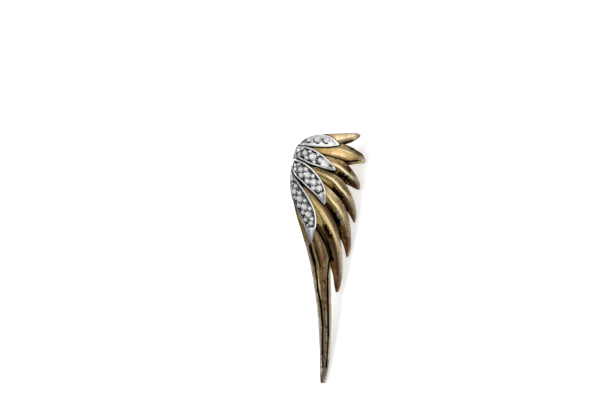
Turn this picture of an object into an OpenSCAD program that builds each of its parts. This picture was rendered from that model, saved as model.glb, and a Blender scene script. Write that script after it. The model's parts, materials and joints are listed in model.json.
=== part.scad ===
// Wing stud earring for the right-hand side: one cast wing of eight feathers, four pavé-set
// coverts in pockets on its shoulder, and a plain ear post on its flat back.
// The tables give the wing as drawn flat: x to the right, y up from the tail tip, heights
// towards the viewer, in millimetres for a wing 50 mm long.

/* [Wing] */
// Length of the wing, from the tail tip to the top feather
wing_length = 50; // [44:1:60]
// Height of the feather relief, as a share of the drawn heights
relief = 1; // [0.85:0.05:1.2]
// Bevel along the back edge of each feather
back_bevel = 0.14; // [0.05:0.01:0.2]

/* [Coverts] */
// Gold left under each covert
pocket_floor = 0.9; // [0.7:0.05:1.1]
// Gap between a covert and its pocket
seat_gap = 0.05; // [0.03:0.01:0.08]
// Width of the raised rim along a covert's trailing edge
trail_rim = 0.26; // [0.2:0.02:0.34]
// Width of the raised rim along a covert's leading edge
lead_rim = 0.24; // [0.18:0.02:0.3]

/* [Stones] */
// Diameter of the table, as a share of the stone
table_share = 0.56; // [0.5:0.01:0.62]
// Height of the crown, as a share of the stone
crown_share = 0.16; // [0.12:0.01:0.2]
// Depth of the pavilion, as a share of the stone
pavilion_share = 0.3; // [0.24:0.01:0.36]
// Gap between a stone and its seat
stone_gap = 0.04; // [0.03:0.01:0.06]

/* [Ear post] */
// Diameter of the post
post_d = 0.9; // [0.7:0.05:1.1]
// Length of the post's straight wall, behind the pad
post_length = 9; // [8:0.5:10.5]
// Length of the post's tapered end
post_tip = 0.3; // [0.2:0.1:0.5]
// Diameter of the pad on the back of the wing
pad_d = 3.2; // [2.4:0.2:4]
// Thickness of the pad
pad_t = 0.4; // [0.3:0.1:0.6]
// Place of the post across the wing, at the drawn length
post_x = -0.4; // [-1:0.1:0.4]
// Place of the post along the wing, at the drawn length
post_y = 44.5; // [43:0.5:46]

/* [Hidden] */
fit = wing_length / 50;
steps = 2;
bevel_limit = 0.2;
rim_round = 0.1;
round_limit = 0.1;
rim_limit = 0.27;
bed_wall = 0.08;
bed_limit = 0.34;
pocket_top = 6;
foot_inset = 0.12;
foot_limit = 0.3;
foot_h = 1.1;
bone_sides = 16;
halvings = 24;
probe = 0.05;
facets = 8;
film = 0.01;
girdle = 0.04;
culet_share = 0.2;
stone_lift = 0.06;
seat_top = 0.6;
post_end_share = 0.45;
back_gap = 0.02;
tries = 4;
$fn = 32;

// Feathers, a row for each section from root to tip. Columns: x and y of the trailing edge,
// x and y of the leading edge, the shares of the way across at which the crest and the shoulder
// below it lie, then the heights of the crest, the shoulder, the trailing and the leading edge.
feather_1 = [
    [-2.8, 48.7, -2.4, 47.2, .45, .8, 1.75, 1.6, 1.45, 1.1],
    [-0.4, 49.6, 0, 46.9, .45, .8, 1.75, 1.58, 1.5, 1.0],
    [2.0, 49.82, 2.4, 47.1, .45, .8, 1.7, 1.5, 1.5, 0.95],
    [4.2, 49.9, 4.3, 47.55, .42, .8, 1.6, 1.38, 1.45, 0.85],
    [5.8, 49.95, 6.0, 47.98, .4, .8, 1.45, 1.22, 1.33, 0.75],
    [7.1, 49.95, 7.1, 48.55, .4, .8, 1.22, 1.02, 1.1, 0.65],
    [7.85, 49.87, 7.8, 49.05, .42, .8, 0.97, 0.84, 0.88, 0.55],
    [8.12, 49.64, 8.08, 49.32, .5, .75, 0.7, 0.62, 0.64, 0.5]];
feather_2 = [
    [-2.8, 47.8, -2.4, 45.6, .3, .88, 1.8, 1.6, 1.1, 1.1],
    [-0.2, 48.0, -0.2, 45.2, .3, .9, 1.9, 1.65, 1.15, 0.9],
    [2.2, 47.95, 2.0, 44.85, .3, .9, 1.9, 1.65, 1.15, 0.8],
    [4.4, 47.85, 4.0, 44.35, .3, .86, 1.85, 1.6, 1.1, 0.75],
    [6.06, 47.28, 5.6, 43.6, .3, .82, 1.75, 1.5, 1.0, 0.7],
    [7.44, 46.5, 7.0, 43.75, .3, .78, 1.55, 1.35, 0.9, 0.65],
    [8.45, 45.78, 8.1, 43.9, .35, .75, 1.25, 1.1, 0.75, 0.55],
    [8.9, 45.0, 8.75, 44.0, .42, .75, 0.9, 0.8, 0.6, 0.5],
    [9.08, 44.55, 9.0, 44.2, .5, .75, 0.65, 0.6, 0.48, 0.45]];
feather_3 = [
    [-1.4, 46.3, -2.6, 44.0, .3, .7, 1.8, 1.5, 1.35, 1.1],
    [0.6, 45.6, -0.4, 42.9, .3, .7, 2.0, 1.55, 1.5, 0.85],
    [2.6, 45.05, 1.6, 42.1, .33, .7, 2.05, 1.5, 1.55, 0.8],
    [4.4, 44.5, 3.2, 41.2, .4, .7, 2.0, 1.45, 1.5, 0.75],
    [5.8, 43.45, 4.6, 40.1, .42, .7, 1.85, 1.35, 1.35, 0.7],
    [6.8, 42.15, 5.7, 39.5, .38, .7, 1.6, 1.2, 1.15, 0.6],
    [7.62, 40.75, 6.6, 39.05, .4, .7, 1.3, 1.0, 0.95, 0.55],
    [8.0, 39.65, 7.3, 38.7, .45, .72, 0.95, 0.8, 0.75, 0.5],
    [8.04, 39.0, 7.78, 38.6, .5, .75, 0.65, 0.58, 0.55, 0.45]];
feather_4 = [
    [-2.4, 44.1, -3.4, 42.1, .35, .7, 1.8, 1.5, 1.35, 1.1],
    [0, 43.1, -1.5, 40.6, .24, .7, 2.0, 1.6, 1.5, 0.9],
    [1.8, 42.3, 0.2, 39.6, .29, .7, 2.1, 1.6, 1.6, 0.8],
    [3.4, 41.45, 1.7, 38.8, .36, .7, 2.1, 1.55, 1.6, 0.8],
    [4.8, 40.2, 2.9, 37.5, .42, .7, 2.0, 1.45, 1.5, 0.75],
    [5.9, 38.5, 4.0, 36.35, .36, .7, 1.85, 1.35, 1.35, 0.7],
    [6.7, 36.6, 5.0, 34.9, .3, .7, 1.6, 1.2, 1.15, 0.6],
    [7.15, 34.8, 5.8, 33.7, .32, .7, 1.25, 1.0, 0.95, 0.55],
    [7.2, 33.2, 6.45, 32.6, .45, .72, 0.95, 0.8, 0.75, 0.5],
    [7.0, 32.2, 6.8, 31.95, .5, .75, 0.65, 0.58, 0.55, 0.45]];
feather_5 = [
    [-1.0, 41.4, -2.4, 39.4, .35, .7, 1.8, 1.5, 1.35, 1.1],
    [0.6, 40.1, -1.0, 37.8, .35, .7, 2.0, 1.6, 1.5, 0.9],
    [2.0, 38.85, 0.4, 36.0, .37, .7, 2.1, 1.6, 1.6, 0.8],
    [3.4, 37.4, 1.6, 34.4, .41, .7, 2.1, 1.55, 1.6, 0.8],
    [4.6, 36.05, 2.4, 32.8, .37, .7, 2.1, 1.5, 1.6, 0.75],
    [5.5, 33.9, 3.2, 31.0, .29, .7, 1.95, 1.4, 1.45, 0.7],
    [6.0, 31.7, 3.85, 29.3, .23, .68, 1.7, 1.25, 1.25, 0.65],
    [6.2, 29.4, 4.55, 27.8, .24, .68, 1.4, 1.05, 1.05, 0.55],
    [6.15, 27.2, 5.0, 26.3, .32, .7, 1.0, 0.85, 0.8, 0.5],
    [5.75, 25.45, 5.25, 25.05, .5, .75, 0.65, 0.58, 0.55, 0.45]];
feather_6 = [
    [-3.8, 40.4, -4.8, 39.0, .4, .7, 1.7, 1.5, 1.3, 1.1],
    [-1.8, 38.8, -3.4, 36.6, .4, .7, 1.9, 1.6, 1.45, 0.9],
    [0, 36.8, -2.0, 34.0, .33, .7, 2.0, 1.6, 1.55, 0.8],
    [1.6, 34.9, -0.8, 31.4, .33, .7, 2.1, 1.6, 1.6, 0.8],
    [2.9, 32.5, 0.2, 29.5, .31, .7, 2.1, 1.5, 1.6, 0.75],
    [3.8, 30.0, 1.1, 27.6, .27, .68, 2.05, 1.45, 1.55, 0.75],
    [4.3, 27.4, 1.65, 25.6, .23, .68, 1.9, 1.35, 1.4, 0.7],
    [4.5, 24.8, 2.1, 23.3, .22, .68, 1.65, 1.2, 1.2, 0.6],
    [4.5, 22.2, 2.6, 21.5, .25, .7, 1.35, 1.05, 1.0, 0.55],
    [4.15, 19.7, 2.85, 19.5, .35, .72, 1.0, 0.85, 0.75, 0.5],
    [3.65, 18.2, 3.15, 18.15, .5, .75, 0.65, 0.58, 0.55, 0.45]];
feather_7 = [
    [-1.8, 33.6, -3.4, 32.2, .4, .7, 1.7, 1.5, 1.25, 1.1],
    [-0.5, 31.3, -2.4, 29.4, .4, .7, 1.8, 1.6, 1.35, 1.2],
    [0.7, 29.2, -1.6, 27.0, .4, .7, 1.9, 1.7, 1.4, 1.25],
    [1.6, 26.8, -1.0, 24.9, .4, .7, 1.9, 1.7, 1.4, 1.3],
    [2.05, 24.2, -0.6, 22.6, .42, .7, 1.9, 1.7, 1.4, 1.35],
    [2.1, 21.4, -0.45, 20.4, .45, .72, 1.9, 1.7, 1.4, 1.35],
    [2.2, 18.6, -0.2, 18.1, .5, .75, 1.85, 1.7, 1.35, 1.35],
    [2.28, 15.4, 0.2, 15.3, .5, .75, 1.85, 1.7, 1.3, 1.35],
    [2.3, 12.2, 0.4, 12.2, .5, .75, 1.8, 1.65, 1.25, 1.3],
    [2.18, 9.0, 0.4, 9.0, .5, .75, 1.7, 1.55, 1.15, 1.2],
    [1.95, 5.8, 0.35, 5.8, .5, .75, 1.5, 1.35, 1.0, 1.0],
    [1.55, 2.6, 0.3, 2.6, .5, .75, 1.2, 1.05, 0.8, 0.8],
    [1.1, 0.6, 0.3, 0.6, .5, .75, 0.9, 0.78, 0.6, 0.55],
    [0.9, 0, 0.4, 0, .5, .75, 0.6, 0.55, 0.45, 0.4]];
feather_8 = [
    [-4.4, 39.2, -5.7, 38.6, .4, .7, 1.5, 1.4, 1.3, 1.0],
    [-3.4, 36.6, -5.3, 36.0, .4, .7, 1.6, 1.4, 1.3, 0.95],
    [-2.4, 34.0, -4.7, 33.4, .4, .7, 1.65, 1.4, 1.3, 0.9],
    [-1.6, 31.4, -3.88, 30.8, .4, .7, 1.65, 1.4, 1.3, 0.9],
    [-1.2, 28.7, -3.12, 28.2, .34, .7, 1.65, 1.3, 1.3, 0.95],
    [-0.8, 25.9, -2.4, 25.6, .3, .7, 1.7, 1.2, 1.35, 1.0],
    [-0.15, 23.2, -1.82, 22.9, .3, .7, 1.75, 1.15, 1.45, 1.0],
    [0.1, 20.4, -1.35, 20.2, .3, .66, 1.78, 1.15, 1.5, 1.0],
    [0.5, 17.5, -0.93, 17.4, .32, .66, 1.8, 1.15, 1.5, 1.0],
    [0.98, 14.4, -0.55, 14.4, .3, .64, 1.8, 1.15, 1.5, 1.0],
    [1.12, 11.4, -0.32, 11.4, .3, .62, 1.75, 1.15, 1.45, 1.0],
    [1.14, 8.2, -0.14, 8.2, .3, .6, 1.65, 1.1, 1.35, 0.95],
    [1.04, 5.0, -0.04, 5.0, .34, .6, 1.45, 1.0, 1.1, 0.85],
    [1.0, 2.4, 0, 2.4, .4, .7, 1.2, 0.9, 0.85, 0.7],
    [0.9, 0.6, 0.05, 0.6, .5, .75, 0.85, 0.7, 0.6, 0.5],
    [0.7, -0.05, 0.2, 0, .5, .75, 0.6, 0.52, 0.4, 0.4]];
feathers = [feather_1, feather_2, feather_3, feather_4, feather_5, feather_6, feather_7, feather_8];

// Wing bone, a row for each disc. Columns: x, y, radius and height.
bone = [
    [-2.4, 48.0, 0.8, 1.1],
    [-3.4, 46.6, 1.4, 1.3],
    [-3.6, 45.0, 1.8, 1.5],
    [-3.9, 43.3, 1.8, 1.5],
    [-4.0, 41.5, 1.8, 1.5],
    [-4.1, 39.8, 1.7, 1.5],
    [-4.0, 38.0, 1.6, 1.5],
    [-3.7, 36.2, 1.5, 1.5],
    [-3.2, 34.4, 1.4, 1.5],
    [-2.7, 32.6, 1.2, 1.4]];

// Coverts, a row for each section from root to tip. Columns: x and y of the trailing edge,
// x and y of the leading edge, the heights of the rim along the trailing and the leading edge,
// the rise of the middle above them, and the depth of the bed below the rim.
covert_1_rows = [
    [-4.1, 47.85, -4.15, 47.5, 1.3, 1.3, 0.0, 0],
    [-3.0, 48.8, -3.0, 47.5, 1.4, 2.0, 0.15, 0.12],
    [-1.6, 49.4, -1.6, 47.35, 1.45, 2.3, 0.25, 0.2],
    [-0.2, 49.7, -0.2, 47.25, 1.5, 2.4, 0.28, 0.2],
    [1.2, 49.55, 1.2, 47.2, 1.6, 2.4, 0.28, 0.18],
    [2.4, 49.1, 2.4, 47.3, 1.8, 2.3, 0.25, 0],
    [3.3, 48.35, 3.3, 47.45, 1.85, 2.1, 0.12, 0],
    [3.84, 47.75, 3.8, 47.55, 1.75, 1.8, 0.0, 0]];
covert_2_rows = [
    [-4.42, 47.38, -5.2, 45.55, 1.4, 1.4, 0.1, 0.1],
    [-3.4, 47.35, -4.2, 44.9, 1.9, 1.8, 0.25, 0.2],
    [-2.2, 47.1, -3.2, 44.4, 2.3, 2.3, 0.3, 0.22],
    [-1.1, 46.65, -2.1, 43.85, 2.4, 2.6, 0.3, 0.22],
    [0, 45.95, -1.0, 43.5, 2.4, 2.6, 0.3, 0.2],
    [1.1, 45.1, 0.1, 43.15, 2.35, 2.55, 0.28, 0.05],
    [2.1, 44.2, 1.2, 42.8, 2.25, 2.4, 0.2, 0],
    [2.8, 43.35, 2.3, 42.55, 2.1, 2.2, 0.1, 0],
    [3.15, 42.7, 3.05, 42.5, 1.95, 1.95, 0.0, 0]];
covert_3_rows = [
    [-5.45, 45.1, -5.8, 43.3, 1.4, 1.3, 0.15, 0],
    [-4.4, 44.6, -5.45, 42.3, 2.0, 1.5, 0.25, 0.2],
    [-3.0, 43.95, -4.85, 41.35, 2.5, 2.1, 0.3, 0.22],
    [-1.7, 42.95, -3.85, 40.4, 2.55, 2.5, 0.32, 0.22],
    [-0.6, 41.75, -2.95, 39.5, 2.5, 2.7, 0.32, 0.22],
    [0.3, 40.45, -2.05, 38.65, 2.45, 2.7, 0.32, 0.2],
    [0.92, 39.1, -1.15, 37.85, 2.4, 2.65, 0.3, 0.04],
    [1.2, 37.8, -0.4, 37.0, 2.35, 2.5, 0.25, 0],
    [1.2, 36.6, 0.25, 36.25, 2.2, 2.3, 0.15, 0],
    [1.0, 35.7, 0.75, 35.7, 2.0, 2.0, 0.0, 0]];
covert_4_rows = [
    [-5.75, 42.75, -5.87, 42.5, 1.2, 1.2, 0.0, 0],
    [-5.0, 41.15, -5.98, 40.8, 1.75, 1.3, 0.15, 0],
    [-3.95, 39.7, -5.95, 39.2, 2.2, 1.4, 0.3, 0.15],
    [-3.0, 38.3, -5.76, 37.7, 2.4, 1.5, 0.4, 0.22],
    [-2.2, 37.05, -5.4, 36.4, 2.5, 1.6, 0.42, 0.22],
    [-1.55, 35.85, -4.88, 35.15, 2.5, 1.7, 0.42, 0.22],
    [-1.05, 34.6, -4.3, 34.05, 2.5, 1.8, 0.4, 0.22],
    [-0.75, 33.2, -3.75, 32.9, 2.45, 1.85, 0.36, 0.2],
    [-0.75, 31.8, -3.25, 31.7, 2.35, 1.85, 0.32, 0.05],
    [-1.05, 30.3, -2.85, 30.4, 2.2, 1.85, 0.25, 0],
    [-1.4, 29.0, -2.4, 29.1, 2.0, 1.8, 0.15, 0],
    [-1.72, 27.85, -1.9, 27.9, 1.75, 1.75, 0.0, 0]];
coverts = [covert_1_rows, covert_2_rows, covert_3_rows, covert_4_rows];

// Stones of each covert. Columns: x, y and diameter.
stones = [
    [[-2.14, 48.6, 0.85], [-0.5, 48.65, 1.15], [1.25, 48.5, 1.0]],
    [[-4.22, 46.58, 0.86], [-4.15, 45.7, 0.7], [-3.45, 46.95, 0.62], [-3.0, 46.0, 1.02],
     [-2.66, 45.05, 0.8], [-1.43, 45.24, 1.3], [0.06, 44.52, 0.98], [-1.18, 44.22, 0.62],
     [-1.98, 46.25, 0.6], [-0.4, 45.62, 0.62]],
    [[-4.95, 43.58, 0.6], [-4.9, 42.75, 0.8], [-3.85, 42.68, 1.04], [-2.85, 42.72, 0.78],
     [-3.74, 41.57, 0.94], [-2.6, 41.62, 1.22], [-1.5, 41.38, 0.8], [-2.53, 40.38, 0.92],
     [-1.36, 40.17, 1.22], [-0.24, 40.12, 0.78], [-1.34, 38.98, 0.86], [-0.23, 38.94, 1.16],
     [-4.2, 43.7, 0.62]],
    [[-5.45, 39.85, 0.4], [-4.86, 39.4, 0.78], [-5.08, 38.3, 1.06], [-4.1, 38.02, 0.76],
     [-5.0, 37.14, 0.7], [-4.06, 36.84, 1.18], [-3.06, 36.5, 0.72], [-4.2, 35.6, 0.9],
     [-3.13, 35.27, 1.22], [-2.1, 34.9, 0.76], [-3.38, 34.1, 0.8], [-2.36, 33.72, 1.18],
     [-2.85, 32.72, 0.8], [-1.66, 32.85, 0.74], [-1.82, 31.97, 0.78], [-2.45, 31.55, 0.5]]];

// Smooth curve through the rows of a table, where u counts rows
function between(rows, u) =
    let (n = len(rows) - 1, i = min(floor(u), n - 1), t = u - i,
         a = rows[max(i - 1, 0)], b = rows[i], c = rows[i + 1], d = rows[min(i + 2, n)])
    (2 * b + (c - a) * t + (2 * a - 5 * b + 4 * c - d) * t * t
        + (3 * b - a - 3 * c + d) * t * t * t) / 2;

// Point across a section, where v is 0 at the trailing and 1 at the leading edge
function across(row, v, h) =
    [(row[0] + (row[2] - row[0]) * v) * fit, (row[1] + (row[3] - row[1]) * v) * fit, h];
function width(row) = norm([row[2] - row[0], row[3] - row[1]]) * fit;

// Closed ring of a feather's section: upright edges, flanks up to the crest and bevelled back
function feather_ring(row) =
    let (b = min(back_bevel / width(row), bevel_limit))
    [across(row, 0, back_bevel), across(row, 0, row[8] * relief),
     across(row, row[4], row[6] * relief), across(row, row[5], row[7] * relief),
     across(row, 1, row[9] * relief),
     across(row, 1, back_bevel), across(row, 1 - b, 0), across(row, b, 0)];

// Height of a covert's top before its bed is sunk
function dome(row, v) = row[4] + (row[5] - row[4]) * v + row[6] * 4 * v * (1 - v);

// Closed ring of a covert's section: upright walls, rims and sunk bed
function covert_ring(row, grow, top) =
    let (w = width(row), g = grow / w, z = pocket_floor + seat_gap - grow)
    top > 0
    ? [across(row, -g, z), across(row, -g, top), across(row, 1 + g, top), across(row, 1 + g, z)]
    : let (d = row[7], r = min(rim_round / w, round_limit),
           a = min(trail_rim / w, rim_limit), b = min((trail_rim + bed_wall) / w, bed_limit),
           c = 1 - min((lead_rim + bed_wall) / w, bed_limit), e = 1 - min(lead_rim / w, rim_limit))
    [across(row, 0, z), across(row, 0, dome(row, 0) - rim_round), across(row, r, dome(row, r)),
     across(row, a, dome(row, a)), across(row, b, dome(row, b) - d),
     across(row, 0.5, dome(row, 0.5) - d),
     across(row, c, dome(row, c) - d), across(row, e, dome(row, e)),
     across(row, 1 - r, dome(row, 1 - r)), across(row, 1, dome(row, 1) - rim_round),
     across(row, 1, z)];

// Skin over a list of rings of equal length, closed by a cap at each end
module skin(rings) {
    m = len(rings[0]);
    n = len(rings);
    caps = [[for (k = [0:m - 1]) k], [for (k = [m - 1:-1:0]) (n - 1) * m + k]];
    sides = [for (j = [0:n - 2], k = [0:m - 1], f = [
        [j * m + k, (j + 1) * m + k, j * m + (k + 1) % m],
        [j * m + (k + 1) % m, (j + 1) * m + k, (j + 1) * m + (k + 1) % m]]) f];
    polyhedron([for (r = rings) each r], concat(caps, sides), convexity = 6);
}

function rings_at(rows) = [for (j = [0:(len(rows) - 1) * steps]) between(rows, j / steps)];

module feather(rows) skin([for (row = rings_at(rows)) feather_ring(row)]);

module covert_plate(rows) skin([for (row = rings_at(rows)) covert_ring(row, 0, 0)]);

module pocket(rows) skin([for (row = rings_at(rows)) covert_ring(row, seat_gap, pocket_top)]);

// Foot of solid gold under a covert, set in from the covert's own outline
module foot(rows) skin([for (row = rings_at(rows)) let (i = min(foot_inset / width(row), foot_limit))
    [across(row, i, 0), across(row, i, foot_h), across(row, 1 - i, foot_h), across(row, 1 - i, 0)]]);

module wing() color("goldenrod") difference() {
    union() {
        for (rows = feathers) feather(rows);
        for (rows = coverts) foot(rows);
        for (i = [0:len(bone) - 2]) hull() for (b = [bone[i], bone[i + 1]])
            translate([b[0] * fit, b[1] * fit, 0]) cylinder(h = b[3], r = b[2] * fit, $fn = bone_sides);
    }
    for (rows = coverts) pocket(rows);
}

// Place on a covert's bed under a drawn point: how far along it lies, by halving the rows
function along(rows, x, y, lo, hi, n) =
    let (mid = (lo + hi) / 2, row = between(rows, mid),
         side = (row[2] - row[0]) * (y - row[1]) - (row[3] - row[1]) * (x - row[0]))
    n == 0 ? mid : side < 0 ? along(rows, x, y, lo, mid, n - 1) : along(rows, x, y, mid, hi, n - 1);
function share(row, x, y) =
    ((x - row[0]) * (row[2] - row[0]) + (y - row[1]) * (row[3] - row[1]))
    / (pow(row[2] - row[0], 2) + pow(row[3] - row[1], 2));
function bed_point(rows, u, v) = let (row = between(rows, u)) across(row, v, dome(row, v) - row[7]);

// Stands its children on a covert's bed at a drawn point, square to the bed
module on_bed(rows, x, y) {
    u = along(rows, x, y, 0, len(rows) - 1, halvings);
    v = share(between(rows, u), x, y);
    p = bed_point(rows, u, v);
    a = bed_point(rows, u + probe, v) - bed_point(rows, u - probe, v);
    b = bed_point(rows, u, v + probe) - bed_point(rows, u, v - probe);
    n = cross(b, a) / norm(cross(b, a));
    translate([x * fit, y * fit, p[2]]) rotate([0, acos(n[2]), atan2(n[1], n[0])]) children();
}

// Brilliant-cut stone, girdle at the origin, with an eight-sided table, girdle and culet
module stone(d) hull() {
    translate([0, 0, crown_share * d]) cylinder(h = film, d = table_share * d, $fn = facets);
    rotate([0, 0, 180 / facets]) translate([0, 0, -girdle / 2]) cylinder(h = girdle, d = d, $fn = facets);
    translate([0, 0, -pavilion_share * d]) cylinder(h = film, d = culet_share * d, $fn = facets);
}

module field(i) color("azure")
    for (s = stones[i]) on_bed(coverts[i], s[0], s[1]) translate([0, 0, stone_lift]) stone(s[2]);

// Hole for a stone, a little wider than the stone and open upwards
module seat(d) let (g = 2 * stone_gap) hull() {
    translate([0, 0, -stone_gap]) cylinder(h = seat_top, d = d + g, $fn = facets);
    translate([0, 0, -pavilion_share * d - stone_gap])
        cylinder(h = film, d = culet_share * d + g, $fn = facets);
}

module covert(i) color("silver") difference() {
    covert_plate(coverts[i]);
    for (s = stones[i]) on_bed(coverts[i], s[0], s[1])
        translate([0, 0, stone_lift]) rotate([0, 0, 180 / facets]) seat(s[2]);
}

module ear_post() color("silver") translate([post_x * fit, post_y * fit, -back_gap]) mirror([0, 0, 1]) {
    cylinder(h = pad_t, d = pad_d);
    cylinder(h = pad_t + post_length, d = post_d);
    translate([0, 0, pad_t + post_length])
        cylinder(h = post_tip, d1 = post_d, d2 = post_d * post_end_share);
}

// Lies the drawn wing on a flat surface, front up, on the tip of feather 4, the tail and the
// rim of the post's end, which is found again from the way down that the last try gave
feather_touch = feather_ring(feather_4[9])[7];
tail_touch = feather_ring(feather_7[11])[0];
post_end = [post_x * fit, post_y * fit, -back_gap - pad_t - post_length - post_tip];
function unit(v) = v / norm(v);
function down(n) =
    let (d = n == 0 ? [1, 0, 0] : down(n - 1), rim = post_end_share * post_d / 2,
         post_touch = post_end + rim * unit([d[0], d[1], 0]))
    unit(cross(post_touch - tail_touch, feather_touch - tail_touch));
z_axis = -down(tries);
y_axis = unit([0, 1, 0] - z_axis[1] * z_axis);
x_axis = cross(y_axis, z_axis);
turn = [x_axis, y_axis, z_axis];
skin_points = [for (p = concat([post_end],
    [for (rows = feathers, row = rings_at(rows)) each feather_ring(row)],
    [for (rows = coverts, row = rings_at(rows)) each covert_ring(row, 0, 0)])) turn * p];
low = [for (i = [0:2]) min([for (p = skin_points) p[i]])];
high = [for (i = [0:2]) max([for (p = skin_points) p[i]])];
floor_z = z_axis * tail_touch;

// Drawn wing to its resting place, with the middle of its footprint at the origin
module lie() multmatrix([
    [x_axis[0], x_axis[1], x_axis[2], -(low[0] + high[0]) / 2],
    [y_axis[0], y_axis[1], y_axis[2], -(low[1] + high[1]) / 2],
    [z_axis[0], z_axis[1], z_axis[2], -floor_z]]) children();

lie() wing();
lie() covert(0);  // covert_1
lie() covert(1);  // covert_2
lie() covert(2);  // covert_3
lie() covert(3);  // covert_4
lie() field(0);  // stones_1
lie() field(1);  // stones_2
lie() field(2);  // stones_3
lie() field(3);  // stones_4
lie() ear_post();
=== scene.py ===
"""Wing stud earring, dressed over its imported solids.

The wing is drawn flat, in millimetres: x to the right, y up from the tail tip and z towards the
viewer. The mount of the ear post says how the drawn wing lies in the world.
"""
import json
import math

import bpy
import numpy as np
from mathutils import Matrix, Vector


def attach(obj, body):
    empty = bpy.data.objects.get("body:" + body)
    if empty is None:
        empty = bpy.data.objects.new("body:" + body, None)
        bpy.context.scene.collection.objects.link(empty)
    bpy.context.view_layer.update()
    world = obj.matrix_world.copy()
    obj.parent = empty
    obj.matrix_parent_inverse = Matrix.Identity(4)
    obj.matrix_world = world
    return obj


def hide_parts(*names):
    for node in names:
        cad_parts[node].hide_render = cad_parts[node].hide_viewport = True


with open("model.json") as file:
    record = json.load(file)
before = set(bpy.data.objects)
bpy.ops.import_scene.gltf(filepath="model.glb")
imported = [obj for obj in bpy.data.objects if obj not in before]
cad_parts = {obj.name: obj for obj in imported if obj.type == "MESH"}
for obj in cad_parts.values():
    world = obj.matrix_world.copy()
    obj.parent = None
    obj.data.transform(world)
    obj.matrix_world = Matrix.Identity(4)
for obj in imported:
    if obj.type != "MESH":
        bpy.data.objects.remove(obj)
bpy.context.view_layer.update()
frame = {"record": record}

MM = 0.001

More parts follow.
